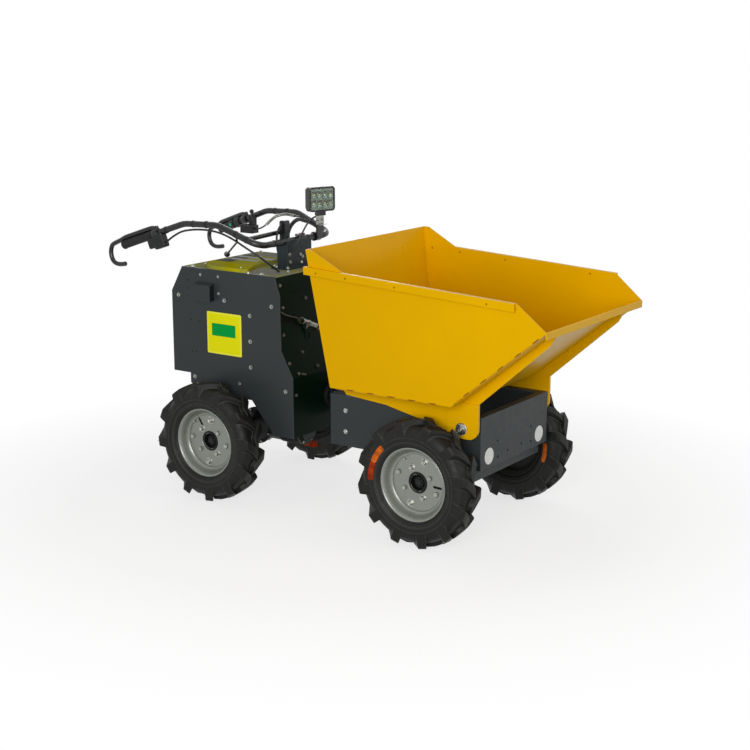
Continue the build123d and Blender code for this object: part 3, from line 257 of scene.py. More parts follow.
class Shader(Nodes):
    """One material, with short calls for the nodes that the finishes share."""

    def __init__(self, name):
        self.mat = bpy.data.materials.new(name)
        super().__init__(self.mat)
        self.out = self.tree.nodes["Material Output"]
        self.bsdf = self.tree.nodes["Principled BSDF"]
        self.coords = self.node("ShaderNodeTexCoord").outputs["Object"]

    def noise(self, scale, detail=3.0, rough=0.55):
        settings = {"Vector": self.coords, "Scale": scale, "Detail": detail, "Roughness": rough}
        return self.node("ShaderNodeTexNoise", settings).outputs["Fac"]

    def blotch(self, scale, detail=3.0, lo=0.3, hi=0.7, a=0.0, b=1.0, rough=0.55):
        """Noise between lo and hi, as a value from a to b."""
        return self.ramp(self.noise(scale, detail, rough), lo, hi, a, b)

    def mix(self, fac, a, b):
        n = self.node("ShaderNodeMix", {"Factor": fac, "A": a, "B": b}, data_type="RGBA")
        return n.outputs["Result"]

    def bump(self, height, strength, distance, after=None):
        n = self.node("ShaderNodeBump", {"Height": height, "Strength": strength,
                                         "Distance": distance})
        if after is not None:
            self.feed(n.inputs["Normal"], after)
        return n.outputs["Normal"]

    def bevel(self, radius):
        return self.node("ShaderNodeBevel", {"Radius": radius}, samples=4).outputs["Normal"]

    def edges(self, rounded_normal):
        """1 along the sheet's edges, where the rounded normal leaves the face's own."""
        flat = self.node("ShaderNodeNewGeometry").outputs["Normal"]
        dot = self.node("ShaderNodeVectorMath", {0: rounded_normal, 1: flat},
                        operation="DOT_PRODUCT")
        return self.ramp(dot.outputs["Value"], 0.995, 0.90)

    def put(self, **values):
        """Feeds the Principled shader's inputs, named with _ for a space."""
        for name, value in values.items():
            self.feed(self.bsdf.inputs[name.replace("_", " ")], value)


def paint(name, colour, rough=0.42, gloss=0.3, grain=900.0, grain_depth=0.00012, vary=0.12,
          edge=0.0012, edge_highlight_gain=1.5, coat=0.0, metallic=0.0, painted_reflection=None, tint=None):
    """Powder-coated sheet: orange-peel grain, slow drift, dust, and rounded edges made lighter as a
    painted highlight.

    grain is the noise's scale; grain_depth and edge are in metres. painted_reflection is a second
    colour in wide patches, a reflection painted into the colour, and tint colours the gloss.
    """
    s = Shader(name)
    base = s.mix(s.blotch(5.0, 4.0), tone(colour, 1 - vary), tone(colour, 1 + vary * 0.6))
    # a painted reflection: a second colour laid in wide patches
    if painted_reflection:
        base = s.mix(s.blotch(9.0, 3.0, 0.42, 0.62), base, tone(painted_reflection))
    dust = s.blotch(160.0, 6.0, 0.60, 0.80, 0.0, 0.25, rough=0.7)
    base = s.mix(dust, base, tone(colour, 1 + vary * 1.5))
    round_edges = s.bevel(edge)
    # the sheet's edges are mixed towards a lighter tone: a painted highlight along the edges
    s.put(Base_Color=s.mix(s.edges(round_edges), base, tone(colour, edge_highlight_gain)),
          Roughness=s.blotch(60.0, 5.0, 0.35, 0.75, rough - 0.06, rough + 0.08),
          Specular_IOR_Level=gloss, Metallic=metallic,
          Normal=s.bump(s.noise(grain, 2.0), 0.5, grain_depth, round_edges))
    if tint:
        s.put(Specular_Tint=tone(tint))
    if coat:
        s.put(Coat_Weight=coat, Coat_Roughness=0.15)
    return s.mat


def metal(name, colour, rough=0.3, wear=0.25):
    """Plated or machined metal."""
    s = Shader(name)
    s.put(Base_Color=s.mix(s.blotch(90.0, 4.0, 0.3, 0.75), tone(colour, 1 - wear), tone(colour)),
          Metallic=1.0, Roughness=s.blotch(240.0, 3.0, 0.3, 0.7, rough - 0.1, rough + 0.12),
          Normal=s.bump(s.noise(1600.0, 2.0), 0.25, 0.00008, s.bevel(0.0004)))
    return s.mat


def rubber(name, colour, rough=0.56, dusty=0.3, gloss=0.3, wear_and_highlight=0.0):
    """Moulded rubber with a dry bloom, faint dust and edges made pale: part wear, part painted
    highlight.
    """
    s = Shader(name)
    bloom = s.blotch(14.0, 5.0, 0.35, 0.7, rough=0.65)
    base = s.mix(bloom, tone(colour, 0.7), tone(colour, 1.35))
    base = s.mix(s.blotch(70.0, 6.0, 0.56, 0.78, 0.0, dusty, rough=0.75), base,
                 tone(DUST))
    round_edges = s.bevel(0.0022)
    # pale edges: part wear, part a painted highlight on the lugs
    if wear_and_highlight:
        base = s.mix(s.ramp(s.edges(round_edges), 0.0, 1.0, 0.0, wear_and_highlight), base, tone(SCUFF_AND_HIGHLIGHT))
    s.put(Base_Color=base, Roughness=s.blotch(40.0, 4.0, 0.3, 0.7, rough - 0.1, rough + 0.12),
          Specular_IOR_Level=gloss, Normal=s.bump(s.noise(1400.0), 0.6, 0.0002, round_edges))
    return s.mat


def plastic(name, colour, rough=0.45, gloss=0.3):
    """Moulded plastic with a fine grain."""
    s = Shader(name)
    s.put(Base_Color=s.mix(s.blotch(25.0), tone(colour, 0.85), tone(colour, 1.2)),
          Roughness=s.blotch(120.0, 3.0, 0.3, 0.7, rough - 0.06, rough + 0.08),
          Specular_IOR_Level=gloss,
          Normal=s.bump(s.noise(1800.0, 2.0), 0.4, 0.00006, s.bevel(0.0006)))
    return s.mat


def sheet(name, colour, rough=0.4, vary=0.1, gloss=0.3):
    """Vinyl or bare plate, with faint blotches and a slight ripple."""
    s = Shader(name)
    s.put(Base_Color=s.mix(s.blotch(60.0, 4.0), tone(colour, 1 - vary), tone(colour, 1 + vary)),
          Roughness=s.blotch(150.0, 3.0, 0.3, 0.7, rough - 0.06, rough + 0.06),
          Specular_IOR_Level=gloss, Normal=s.bump(s.noise(500.0), 0.2, 0.0001))
    return s.mat


def clear(name, tint):
    """Clear polycarbonate with faint dust."""
    s = Shader(name)
    s.put(Base_Color=tint, Transmission_Weight=1.0, IOR=1.45,
          Roughness=s.blotch(220.0, 4.0, 0.4, 0.75, 0.02, 0.12))
    return s.mat


body_grey = paint("body_grey_paint", (49, 54, 55), gloss=0.2, vary=0.07, edge=0.0016,
                  edge_highlight_gain=3.2)
top_grey = paint("top_cover_paint", (140, 140, 130), rough=0.5, gloss=0.0, vary=0.15,
                 edge_highlight_gain=1.4, painted_reflection=(148, 146, 78))
# painted shade: the body's dark paint made near black-green, as the front bulkhead looks in the
# shade under the skip; the floor pan takes it too
bulkhead_painted_shade = paint("bulkhead_painted_shade", (5, 23, 13), rough=0.4, gloss=0.06, vary=0.2,
                       edge_highlight_gain=3.0)
post_grey = paint("post_grey_paint", (38, 47, 51), rough=0.4, gloss=0.2, vary=0.15,
                  edge_highlight_gain=2.4)
yellow = paint("skip_yellow_paint", (226, 172, 0), rough=0.36, grain=420.0,
               grain_depth=0.00016, vary=0.04, edge=0.0016, edge_highlight_gain=1.18, tint=(255, 215, 0))
weld_yellow = paint("weld_yellow_paint", (212, 156, 0), rough=0.3, gloss=0.4, grain=700.0,
                    grain_depth=0.0004, edge=0.0006, edge_highlight_gain=1.2, tint=(255, 215, 0))
# painted shade: the inside of the rim made dark, as it looks in the shade behind the disc
rim_inside_shade = paint("rim_inner_painted_shade", (46, 48, 45), rough=0.5, gloss=0.15, vary=0.3)
rim_paint = paint("rim_silver_paint", (138, 141, 134), rough=0.30, grain=700.0,
                  grain_depth=0.00008, vary=0.05, edge=0.0010, edge_highlight_gain=1.4, metallic=0.35)
black_paint = paint("black_bar_paint", (17, 19, 20), rough=0.3, gloss=0.4, vary=0.15,
                    edge=0.0006, coat=0.1)
dark_steel = paint("black_running_gear", (20, 22, 21), rough=0.5, gloss=0.25, vary=0.25,
                   edge=0.0008)
lid_paint = paint("lid_olive_yellow", (176, 168, 18), rough=0.5, gloss=0.0, vary=0.25,
                  edge=0.002, edge_highlight_gain=1.3, painted_reflection=(150, 148, 76))
zinc = metal("zinc_bolts", (176, 177, 170), rough=0.32, wear=0.35)
worn_steel = metal("worn_steel", (120, 118, 110), rough=0.42, wear=0.4)
turned_face = metal("pin_head_steel", (226, 228, 220), rough=0.24, wear=0.3)
reflector = metal("lamp_reflector", (112, 122, 114), wear=0.3)
tyre_rubber = rubber("tyre_rubber", (19, 19, 18), rough=0.5, gloss=0.22, dusty=0.22, wear_and_highlight=0.4)
grip_rubber = rubber("grip_rubber", (26, 26, 27), rough=0.6, dusty=0.1)
buffer_rubber = rubber("buffer_rubber", (24, 24, 24), rough=0.65, dusty=0.15)
black_plastic = plastic("black_plastic", (23, 24, 25))
cable_skin = plastic("cable_skin", (18, 19, 20), rough=0.38, gloss=0.4)
button_green = plastic("button_green", (20, 170, 110), rough=0.35)
connector_purple = plastic("connector_purple", (92, 22, 78), rough=0.4)
label_yellow = sheet("label_yellow_vinyl", (240, 236, 20), vary=0.015, gloss=0.05)
label_pale = sheet("label_pale_border", (244, 240, 66), rough=0.28, vary=0.02)
label_green = sheet("label_green_vinyl", (8, 160, 66), vary=0.04, gloss=0.05)
disc_white = sheet("white_disc", (232, 235, 232), rough=0.35, vary=0.08)
band_grey = sheet("lid_grey_band", (172, 173, 164), rough=0.5, vary=0.15, gloss=0.0)
sticker_orange = sheet("sticker_orange", (196, 94, 26), rough=0.5, vary=0.45, gloss=0.1)
sticker_red = sheet("sticker_red", (146, 46, 12), rough=0.5, vary=0.5, gloss=0.1)
# hole_black: holes and black print, and also the painted shadow in the wheels' hub pockets
hole_black = sheet("hole_black", (6, 7, 7), rough=0.7, gloss=0.1)
weld_gap = sheet("weld_gap", (120, 66, 6), rough=0.6, vary=0.3)
led_yellow = sheet("led_chip", (236, 226, 120), rough=0.3, vary=0.05)
lamp_glass = clear("lamp_cover", (0.93, 1.0, 0.95, 1.0))


# -------------------------- CAD nodes that stay
FINISH = [             # what a node's name holds, its material; the first that fits is taken
    ("skip_", yellow), ("_tyre", tyre_rubber), ("_rim", rim_paint), ("axle_mounts", body_grey),
    ("_hub", dark_steel), ("axle", dark_steel), ("motor", dark_steel),
    ("bulkhead", bulkhead_painted_shade), ("floor_pan", bulkhead_painted_shade), ("pivot_pin", worn_steel),
    ("pivot_", dark_steel), ("handlebar_post", post_grey), ("handlebar", black_paint),
    ("hand_guards", black_paint), ("lamp_lens", hole_black), ("lamp_", black_paint),
    ("tip_pins", turned_face), ("grips", grip_rubber), ("battery_block", black_plastic),
    ("battery_lid", lid_paint), ("bar_controls", black_plastic), ("control_cables", cable_skin),
    ("top_cover", top_grey), ("", body_grey)]
for name, obj in nodes.items():
    obj.data.materials.clear()
    obj.data.materials.append(next(m for part, m in FINISH if part in name))


# -------------------------- places from the frame
def middle_and_half(node):
    """A CAD node's middle, and half of its size along each axis."""
    lo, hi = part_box(node)
    return (lo + hi) / 2, (hi - lo) / 2


tyre_mid, _ = middle_and_half("front_right_tyre")
rim_mid, rim_half = middle_and_half("front_right_rim")
FA, RA = rim_mid.x, middle_and_half("rear_right_rim")[0].x    # the axle lines along X
AXLE_X = {"front": FA, "rear": RA}
AXLE_Z, TYRE_Y = tyre_mid.z, -tyre_mid.y
RIM_R, RIM_W = rim_half.z / MM, rim_half.y / MM       # lip radius and half width, mm
plate_lo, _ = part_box("rear_side_plate_right")
SIDES = (-1, 1)        # right, left
SIDE_SIGN = {"right": -1, "left": 1}
FORE, AFT, UP, DOWN = (1, 0, 0), (-1, 0, 0), (0, 0, 1), (0, 0, -1)


def spot(x, y, z):
    """A point from the front axle line along X, the middle plane and the ground."""
    return Vector((FA + x, y, z))


def at_rear(x, y, z):
    """A point from the middle of the rear axle."""
    return Vector((RA + x, y, AXLE_Z + z))


def flip(v, sy):
    """A left-hand point or direction, mirrored for the right when sy is -1."""
    return Vector((v[0], v[1] * sy, v[2]))


def surface(name):
    """A CAD node's faces, to set small pieces down on."""
    mesh, place = nodes[name].data, nodes[name].matrix_world
    return BVHTree.FromPolygons([place @ v.co for v in mesh.vertices],
                                [tuple(p.vertices) for p in mesh.polygons])


def landed(tree, start, way):
    """Where a ray meets a surface, and the direction out of it."""
    way = Vector(way).normalized()
    point, normal, _, _ = tree.ray_cast(Vector(start), way)
    return point, -normal if normal.dot(way) > 0 else normal


# -------------------------- fasteners, all in mm
def bolt(form, point, normal, across, height, turn=0.0, washer=True):
    """A hexagon head, on a plain washer."""
    at = fit(point, normal) @ Matrix.Rotation(turn, 4, "Z")
    z = 0.0
    if washer:
        w, z = across * 0.92, 1.5
        form.lathe([(0, 0), (w, 0), (w, 1.1), (w * 0.97, z), (0, z)], 20, at)
    r, h = across / 2 / cos(pi / 6), height
    form.lathe([(0, z), (r, z), (r, z + h * 0.8), (r * 0.86, z + h), (r * 0.5, z + h),
                (r * 0.42, z + h * 0.93), (0, z + h * 0.93)], 6, at)


def dome(form, point, normal, r):
    """A low round head with a driving recess."""
    form.lathe([(0, 0), (r, 0), (r, r * 0.2), (r * 0.86, r * 0.46), (r * 0.5, r * 0.66),
                (r * 0.38, r * 0.68), (r * 0.32, r * 0.4), (0, r * 0.4)], 14, fit(point, normal))


# -------------------------- wheels, all in mm
LUGS = 12
LUG_PITCH = 2 * pi / LUGS
LUG_START = 0.147      # where the first lug's tip stands, radians
SIDE_WALL = 46.95      # the widest that a rib may stand from the middle
CARCASS = [            # outer half of the section: radius, distance from the middle
    (109.0, 16.0), (110.0, 24.0), (115.0, 29.0), (119.6, 34.0), (122.5, 35.2), (124.0, 37.5),
    (126.5, 39.0), (129.0, 39.2), (131.0, 40.8), (138.0, 44.0), (146.0, 46.4), (153.0, 46.9),
    (160.0, 46.4), (168.0, 44.6), (176.0, 41.0), (182.0, 36.0), (186.0, 29.5), (188.2, 21.0),
    (189.3, 11.0), (189.6, 0.0)]
LUG_STATIONS = [       # radians behind the tip; outer radius and y; base radius and y; half width
    (-0.012, 204.0, -5.5, 187.0, -7.5, 14.0), (0.000, 205.1, -4.0, 187.0, -4.0, 15.5),
    (0.045, 205.1, 3.0, 187.2, 3.0, 16.0), (0.092, 204.9, 11.0, 187.0, 11.0, 16.2),
    (0.134, 204.5, 19.0, 186.2, 19.0, 16.2), (0.170, 203.9, 27.0, 184.4, 27.0, 16.0),
    (0.198, 203.2, 34.0, 181.0, 33.5, 15.6), (0.216, 202.4, 39.5, 176.0, 38.0, 15.2),
    (0.228, 200.8, 43.6, 172.0, 40.0, 14.8), (0.234, 198.0, 45.9, 169.0, 41.5, 14.6),
    (0.240, 191.0, 46.8, 166.0, 43.0, 14.4), (0.246, 182.0, 46.9, 162.0, 44.0, 14.6),
    (0.251, 173.0, 46.9, 158.0, 44.6, 15.4), (0.255, 165.0, 46.8, 155.0, 45.0, 16.6),
    (0.258, 157.0, 46.3, 152.0, 45.2, 18.0)]
LUG_SECTION = [        # half of a section across the lug: extra half width, how far out
    (6.5, 0.0), (3.6, 0.16), (2.0, 0.42), (0.8, 0.92), (-0.9, 1.0)]
WALL_RIBS = ((133.5, 42.0, 1.2), (137.0, 43.6, 0.8), (151.0, 46.7, 0.9))   # radius, y, half width
HAIRS = ((1, 0.24, 196.0), (3, 0.20, 199.0), (4, 0.25, 188.0), (6, 0.24, 194.0),
         (9, 0.21, 198.0))                   # lug, radians behind its tip, radius
ON_AXLE = Matrix.Rotation(-pi / 2, 4, "X")   # turns a lathe's Z onto the wheel's axle
TYRE_STEPS, RIM_STEPS = 144, 128
DISC_Y = 33.0 - RIM_W                        # the rim disc's outer face


def lug(form, side, tip):
    """One bar of the tread: from the tyre's middle back to the shoulder and down the wall."""
    across = [(-1, w, t) for w, t in LUG_SECTION] + [(1, w, t) for w, t in reversed(LUG_SECTION)]
    sections = []
    for back, r1, y1, r0, y0, half in LUG_STATIONS:
        row = []
        for sign, extra, t in across:
            r, y = r0 + (r1 - r0) * t, y0 + (y1 - y0) * t
            a = tip - back + sign * (half + extra) / r
            row.append((r * sin(a), side * y, r * cos(a)))
        sections.append(row)
    form.loft(sections)


def tyre_form():
    """A right-hand tyre: axle on local Y, outer side towards -Y, rolling to +X."""
    f = Form()
    line = [(r, -y) for r, y in CARCASS] + [(r, y) for r, y in reversed(CARCASS[:-1])]
    f.lathe(line, TYRE_STEPS, ON_AXLE, closed=True)
    for k in range(LUGS):
        for side, half_step in ((-1, 0.0), (1, 0.5)):
            lug(f, side, (k + half_step) * LUG_PITCH + LUG_START)
    for side in SIDES:
        for r, y, w in WALL_RIBS:
            top = min(y + 0.5, SIDE_WALL)
            rib = [(r - w, y - 1.0), (r - w / 2, top), (r + w / 2, top), (r + w, y - 1.0)]
            f.lathe([(a, side * b) for a, b in rib], TYRE_STEPS, ON_AXLE)
    # moulding hairs left on a few lugs
    for k, back, r in HAIRS:
        a = k * LUG_PITCH + LUG_START - back
        root = Vector((r * sin(a), -45.5, r * cos(a)))
        out = Vector((0.25 * sin(a), -1.0, 0.25 * cos(a))).normalized()
        bend = Vector((cos(a), 0, -sin(a))) * 2.5
        f.tube([root, root + out * 4, root + out * 8 + bend], [0.6, 0.5, 0.25], 5)
    return f


def rim_form():
    """Pressed steel rim: rolled lip, bead seat, well and dished disc."""
    lip, w = RIM_R, RIM_W
    turns = [radians(60 - 150 * k / 8) for k in range(9)]
    roll = [(lip - 2.6 + 2.6 * cos(a), 3.8 + 2.6 * sin(a)) for a in turns]
    # the section's face, from the outer edge inwards: rolled lip, one smooth bowl, the disc
    face = roll + [
        (lip - 4.6, 2.0), (lip - 7.0, 4.4), (108.8, 8.5), (106.6, 13.0), (105.2, 18.0),
        (104.0, 23.5), (101.8, 29.0), (98.4, 33.6), (95.4, 35.4), (93.0, 35.2), (91.6, 34.0),
        (90.2, 33.1), (86.0, 33.0), (60.0, 33.0), (35.6, 33.0), (34.4, 34.2), (34.4, 37.0)]
    disc_back = [(60.0, 37.0), (88.0, 37.0), (97.0, 40.0), (101.5, 44.0)]
    # the inner edge, then the bead seats and the well, from the inner edge outwards
    inner = [(102.5, 20.0), (103.5, 14.0), (107.0, 9.5), (112.0, 7.0), (lip - 3.0, 1.0),
             (lip - 1.0, 0.5), (lip, 2.5), (lip - 1.5, 5.5), (112.5, 11.5), (108.0, 13.5),
             (107.0, 20.0), (106.0, 34.0)]
    well = [(106.5, 30.0), (107.5, 22.0), (109.5, 13.5), (112.5, 11.5), (lip - 1.5, 6.8)]
    f = Form()
    line = [(r, d - w) for r, d in face + disc_back] + [(r, w - d) for r, d in inner]
    f.lathe(line + [(r, d - w) for r, d in well], RIM_STEPS, ON_AXLE, closed=True)
    # the disc's back, the inner edge and the well take slot 1, a painted shade for the dark inside
    # of the rim
    f.slots = [int(i // RIM_STEPS >= len(face) - 1) for i in range(len(f.faces))]
    return f


def wheel_place(end, side):
    """From a right-hand wheel's millimetres to its place, mirrored on the left."""
    sy = SIDE_SIGN[side]
    move = Matrix.Translation((AXLE_X[end], sy * TYRE_Y, AXLE_Z))
    return move @ Matrix.Diagonal((MM, -sy * MM, MM, 1.0))


def on_wheel(place, angle, r, y):
    """A point on a wheel, degrees from +X towards the top, and the direction outwards."""
    a = radians(angle)
    return place @ Vector((r * cos(a), y, r * sin(a))), place.to_3x3() @ Vector((0, -1, 0))


def wheel(end, side, lug_turn, bolt_turn, valve_turn, stem_turn):
    name, body = f"{end}_{side}", f"{end}_{side}_wheel"
    place = wheel_place(end, side)
    turned = place @ Matrix.Rotation(radians(lug_turn), 4, "Y")
    for form, node, mats in ((tyre_form(), "tyre", [tyre_rubber]),
                             (rim_form(), "rim", [rim_paint, rim_inside_shade])):
        form.verts = [turned @ v for v in form.verts]
        piece = form.make(f"{name}_{node}_look", body, mats, node, angle=34.0)
        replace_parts(piece, f"{name}_{node}")
    bolts, dark, bright = Form(), Form(), Form()
    for k in range(4):
        for r, first, across in ((51.0, 45.0, 14.0), (74.0, 0.0, 15.5)):
            p, out = on_wheel(place, bolt_turn + first + 90 * k, r, DISC_Y)
            bolt(bolts, p, out, across, 8.0, turn=0.6 * k, washer=k % 2 == 0)
    # valve slot, and the stem beside it
    p, out = on_wheel(place, valve_turn + stem_turn, 84.0, DISC_Y)
    bolts.lathe([(0, 0), (3.6, 0), (3.6, 4), (2.6, 5), (2.6, 13), (3.2, 13.5), (3.2, 17), (0, 18)],
                12, fit(p, out))
    p, out = on_wheel(place, valve_turn, 73.0, DISC_Y)
    radial = on_wheel(place, valve_turn, 90.0, DISC_Y)[0] - p
    dark.plate(rounded(31, 7.5, 3.5), -0.2, 0.4, fit(p, out, radial))
    # shadow painted into the hub's pocket round the axle nut, and highlights painted in arcs on the
    # nut's washer
    dark.ring(24.8, 25.6, 0.4, 40, fit(*on_wheel(place, 0, 0, DISC_Y + 1.0)))
    washer = fit(*on_wheel(place, 0, 0, DISC_Y + 1.2))
    for a0, a1 in ((200.0, 262.0), (278.0, 296.0), (100.0, 128.0)):
        bright.ring(26.0, 28.4, 0.6, 14, washer, arc=(radians(a0), radians(a1)))
    bolts.make(f"{name}_wheel_bolts", body, [zinc], "steel")
    dark.make(f"{name}_valve_slot_and_hub_shadow", body, [hole_black], "hub")
    bright.make(f"{name}_hub_painted_highlight", body, [worn_steel], "hub")


def carcass_y(r):
    """Half width of the carcass at a radius on its side wall."""
    for (ra, ya), (rb, yb) in zip(CARCASS, CARCASS[1:]):
        if ra <= r <= rb:
            return ya + (yb - ya) * (r - ra) / (rb - ra)
    return CARCASS[-1][1]


def tyre_patch(form, place, face, r0, r1, start, stop, slot):
    """A coloured patch on a side wall, with clipped corners."""
    steps, proud, thick = 12, 0.7, 1.2
    sections = []
    for k in range(steps + 1):
        a = radians(start + (stop - start) * k / steps)
        clip = 2.5 if k in (0, steps) else 0.0
        lo, hi = r0 + clip, r1 - clip
        front = [(r, carcass_y(r) + proud) for r in (lo + (hi - lo) * j / 8 for j in range(9))]
        section = front + [(r, y - thick) for r, y in reversed(front)]
        sections.append([(r * cos(a), face * y, r * sin(a)) for r, y in section])
    form.loft(sections, place, slot)


# end, side, turn of the lugs, first rim bolt, valve slot, stem from the slot, in degrees
wheel("front", "right", -8.0, 70.0, -3.0, 122.0)
wheel("rear", "right", -2.0, 85.0, 122.0, 9.0)
wheel("front", "left", 5.0, 40.0, 160.0, 9.0)
wheel("rear", "left", -11.0, 20.0, 250.0, 9.0)
PATCHES = [            # end, side, face (-1 is the outer one), radii, then degrees and a colour
    ("front", "right", -1, 139.0, 158.0, ((134.0, 158.5, 0), (158.5, 182.0, 1))),
    ("front", "left", 1, 134.0, 150.0, ((-19.0, 8.0, 0),)),
    ("rear", "left", 1, 129.0, 151.0, ((-112.0, -92.0, 0), (-92.0, -75.0, 1)))]
for end, side, face, r0, r1, spans in PATCHES:
    f = Form()
    for span in spans:
        tyre_patch(f, wheel_place(end, side), face, r0, r1, *span)
    f.make(f"{end}_{side}_tyre_patch", f"{end}_{side}_wheel", [sticker_orange, sticker_red], "tyre")


# -------------------------- rear body
# the ends of the release latch's sleeve
LATCH = (Vector((RA + 0.246, -0.111, 0.620)), Vector((RA + 0.246, -0.018, 0.584)))
SKIN_RAY = -0.46       # where rays to the bulkhead start, from the front axle line


def on_side(dx, dz, sy=-1):
    """A point on a side plate, mm from its rear edge and its lowest edge."""
    return Vector((plate_lo.x + dx * MM, -sy * plate_lo.y, plate_lo.z + dz * MM))


def side_plates():
    bolts, holes = Form(), Form()
    for sy in SIDES:
        out = (0, sy, 0)
        for dx, dz in ((31, 441), (237, 441), (440, 441), (347, 400), (347, 312), (347, 223),
                       (96, 159), (296, 159), (495, 159)):
            bolt(bolts, on_side(dx, dz, sy), out, 8.0, 4.5, turn=dx)
        for dx, dz in ((133, 520), (212, 520), (212, 462)):
            bolt(bolts, on_side(dx, dz, sy), out, 5.5, 3.0, turn=dx)
        for dx, dz in ((84, 360), (120, 357), (87, 249), (106, 248), (73, 468), (74, 497)):
            holes.ring(0, 2.4, 0.3, 14, fit(on_side(dx, dz, sy), out))
    bolts.make("side_plate_bolts", "rear_body", [zinc], "steel")
    holes.make("side_plate_holes", "rear_body", [hole_black], "body_grey")


def side_label():
    x0, x1, z0, z1 = 157.5, 309.0, 252.5, 397.3      # on the plate, as in on_side()
    at = fit(on_side((x0 + x1) / 2, (z0 + z1) / 2), (0, -1, 0), FORE)
    w, h, f = x1 - x0, z1 - z0, Form()
    f.plate(rounded(w, h, 5), 0.1, 0.6, at, 0, ease=0.2)
    f.plate(rounded(w - 12, h - 12, 3), 0.6, 0.9, at, 1, ease=0.1)
    field = at @ Matrix.Translation((-2, 12, 0))
    f.plate(rounded(104, 43, 2), 0.9, 1.2, field, 2, ease=0.1)
    f.make("side_label", "rear_body", [label_pale, label_yellow, label_green], "lid")


def side_box_front_shade():
    """A black plate on the front end of the small box on the right-hand plate: painted shade for
    the face turned away from the light.
    """
    lo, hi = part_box("side_box")
    h, out, drop = (hi.z - lo.z) / 2 / MM, (hi.y - lo.y) / MM, 9
    outline = [(-out + 1.5, -h + 2), (0, -h + 2), (0, h - 2.5), (-out + 1.5, h - drop - 1.5)]
    f = Form()
    f.plate(outline, 0.0, 1.2, fit((hi.x, hi.y, (lo.z + hi.z) / 2), FORE, (0, 1, 0)), ease=0.3)
    f.make("side_box_front_shade", "rear_body", [black_plastic], "black_plastic")


def top_cover():
    top_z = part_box("top_cover")[1].z
    f = Form()
    for x, y in ((-0.744, -0.204), (-0.688, -0.203), (-0.994, -0.198), (-1.017, 0.200),
                 (-0.744, 0.204), (-0.660, 0.203), (-0.900, 0.204), (-0.655, -0.100),
                 (-0.655, 0.120)):
        bolt(f, spot(x, y, top_z), UP, 9.0, 4.0, turn=x * 9)
    f.make("top_cover_bolts", "rear_body", [zinc], "steel")


def battery_lid():
    """Grey bands and black squares along the lid, and its screws."""
    lo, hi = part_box("battery_lid")

    def band(form, x0, x1, y0, y1, top, slot):
        at = fit(((x0 + x1) / 2, (y0 + y1) / 2, hi.z), UP)
        form.plate(rounded((x1 - x0) / MM, (y1 - y0) / MM, 2), -0.2, top, at, slot, ease=0.2)

    f = Form()
    for y0, y1 in ((-0.055, -0.025), (0.001, 0.030)):
        band(f, lo.x + 0.008, (lo.x + hi.x) / 2 + (60 - 500 * abs(y0)) * MM, y0, y1, 0.5, 0)
    for y0, y1 in ((-0.106, -0.055), (-0.025, 0.001), (0.030, 0.052)):
        band(f, lo.x + 0.008, lo.x + 0.072, y0, y1, 0.6, 1)
    f.make("lid_bands", "rear_body", [band_grey, hole_black], "lid")
    f = Form()
    for x, y in ((lo.x + 0.030, -0.185), (hi.x - 0.038, -0.186), (lo.x + 0.090, 0.040)):
        dome(f, (x, y, hi.z), UP, 4.0)
    f.make("lid_screws", "rear_body", [zinc], "steel")


def bulkhead():
    skin = surface("rear_bulkhead")
    lo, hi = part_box("rear_bulkhead")
    f, low = Form(), Form()

    def on_skin(y, z):
        return landed(skin, spot(SKIN_RAY, y, z), AFT)

    bolts = [(sy * y, z, across) for sy in SIDES for y, z, across in (
        (0.196, 0.747, 7.2), (0.197, 0.675, 7.2), (0.197, 0.583, 7.2), (0.109, 0.511, 6.4),
        (0.197, 0.488, 7.2), (0.172, 0.452, 7.2), (0.195, 0.383, 7.2))]
    for y, z, across in bolts + [(-0.072, 0.690, 6.4), (-0.063, 0.459, 6.4)]:
        bolt(f, *on_skin(y, z), across, 4.0, turn=z * 30)
    # clip at the foot of the slope, with its short lever
    p, n = on_skin(-0.150, 0.446)
    f.block((20, 7, 3), fit(p + n * 2.0 * MM, n, (0, 1, -0.3)))
    # the release latch: eyes, bright sleeve with its nuts, three-cornered plate
    for end in LATCH:
        f.lathe([(0, 0), (12, 0), (12, 9), (10, 10), (0, 10)], 20,
                fit((lo.x + (hi.x - lo.x) * 0.36, end.y, end.z), FORE))
    way = (LATCH[1] - LATCH[0]).normalized()
    f.lathe([(9.1, 0), (9.9, 1), (9.9, 30), (11.5, 31), (11.5, 38), (9.9, 39), (9.9, 78),
             (9.1, 79)], 24, fit(LATCH[0] + way * 0.010, way), slot=1, closed=True)
    f.plate([(-8, -13), (15, 1), (15, 8), (-8, 8)], 0, 2.5,
            fit(LATCH[0] + way * 0.026 + Vector((0.010, 0, -0.008)), FORE, (0, 1, 0)), ease=0.4)
    f.make("bulkhead_bolts", "rear_body", [worn_steel, zinc], "steel")
    for y, z, r in ((-0.066, 0.561, 17), (-0.066, 0.459, 11)):
        low.lathe([(r, 0), (r, 1.6), (r - 3, 2.4), (r - 5, 1.2), (r - 5, 0)], 28,
                  fit(*on_skin(y, z)), closed=True)
    # dark slot behind the latch, and the release cable that runs to it
    low.plate(rounded(60, 22, 4), 0.0, 0.8, fit(*on_skin(-0.165, 0.634), (0, 1, 0)), 1)
    cable = []
    for y, z, off in ((-0.209, 0.662, 2.6), (-0.190, 0.650, 4.0), (-0.160, 0.640, 4.6),
                      (-0.127, 0.630, 7.0)):
        p, n = on_skin(y, z)
        cable.append(p + n * off * MM)
    low.tube(smooth_path(cable), 2.4 * MM, 10, slot=2)
    low.make("bulkhead_fittings", "rear_body", [bulkhead_painted_shade, hole_black, worn_steel], "bulkhead")


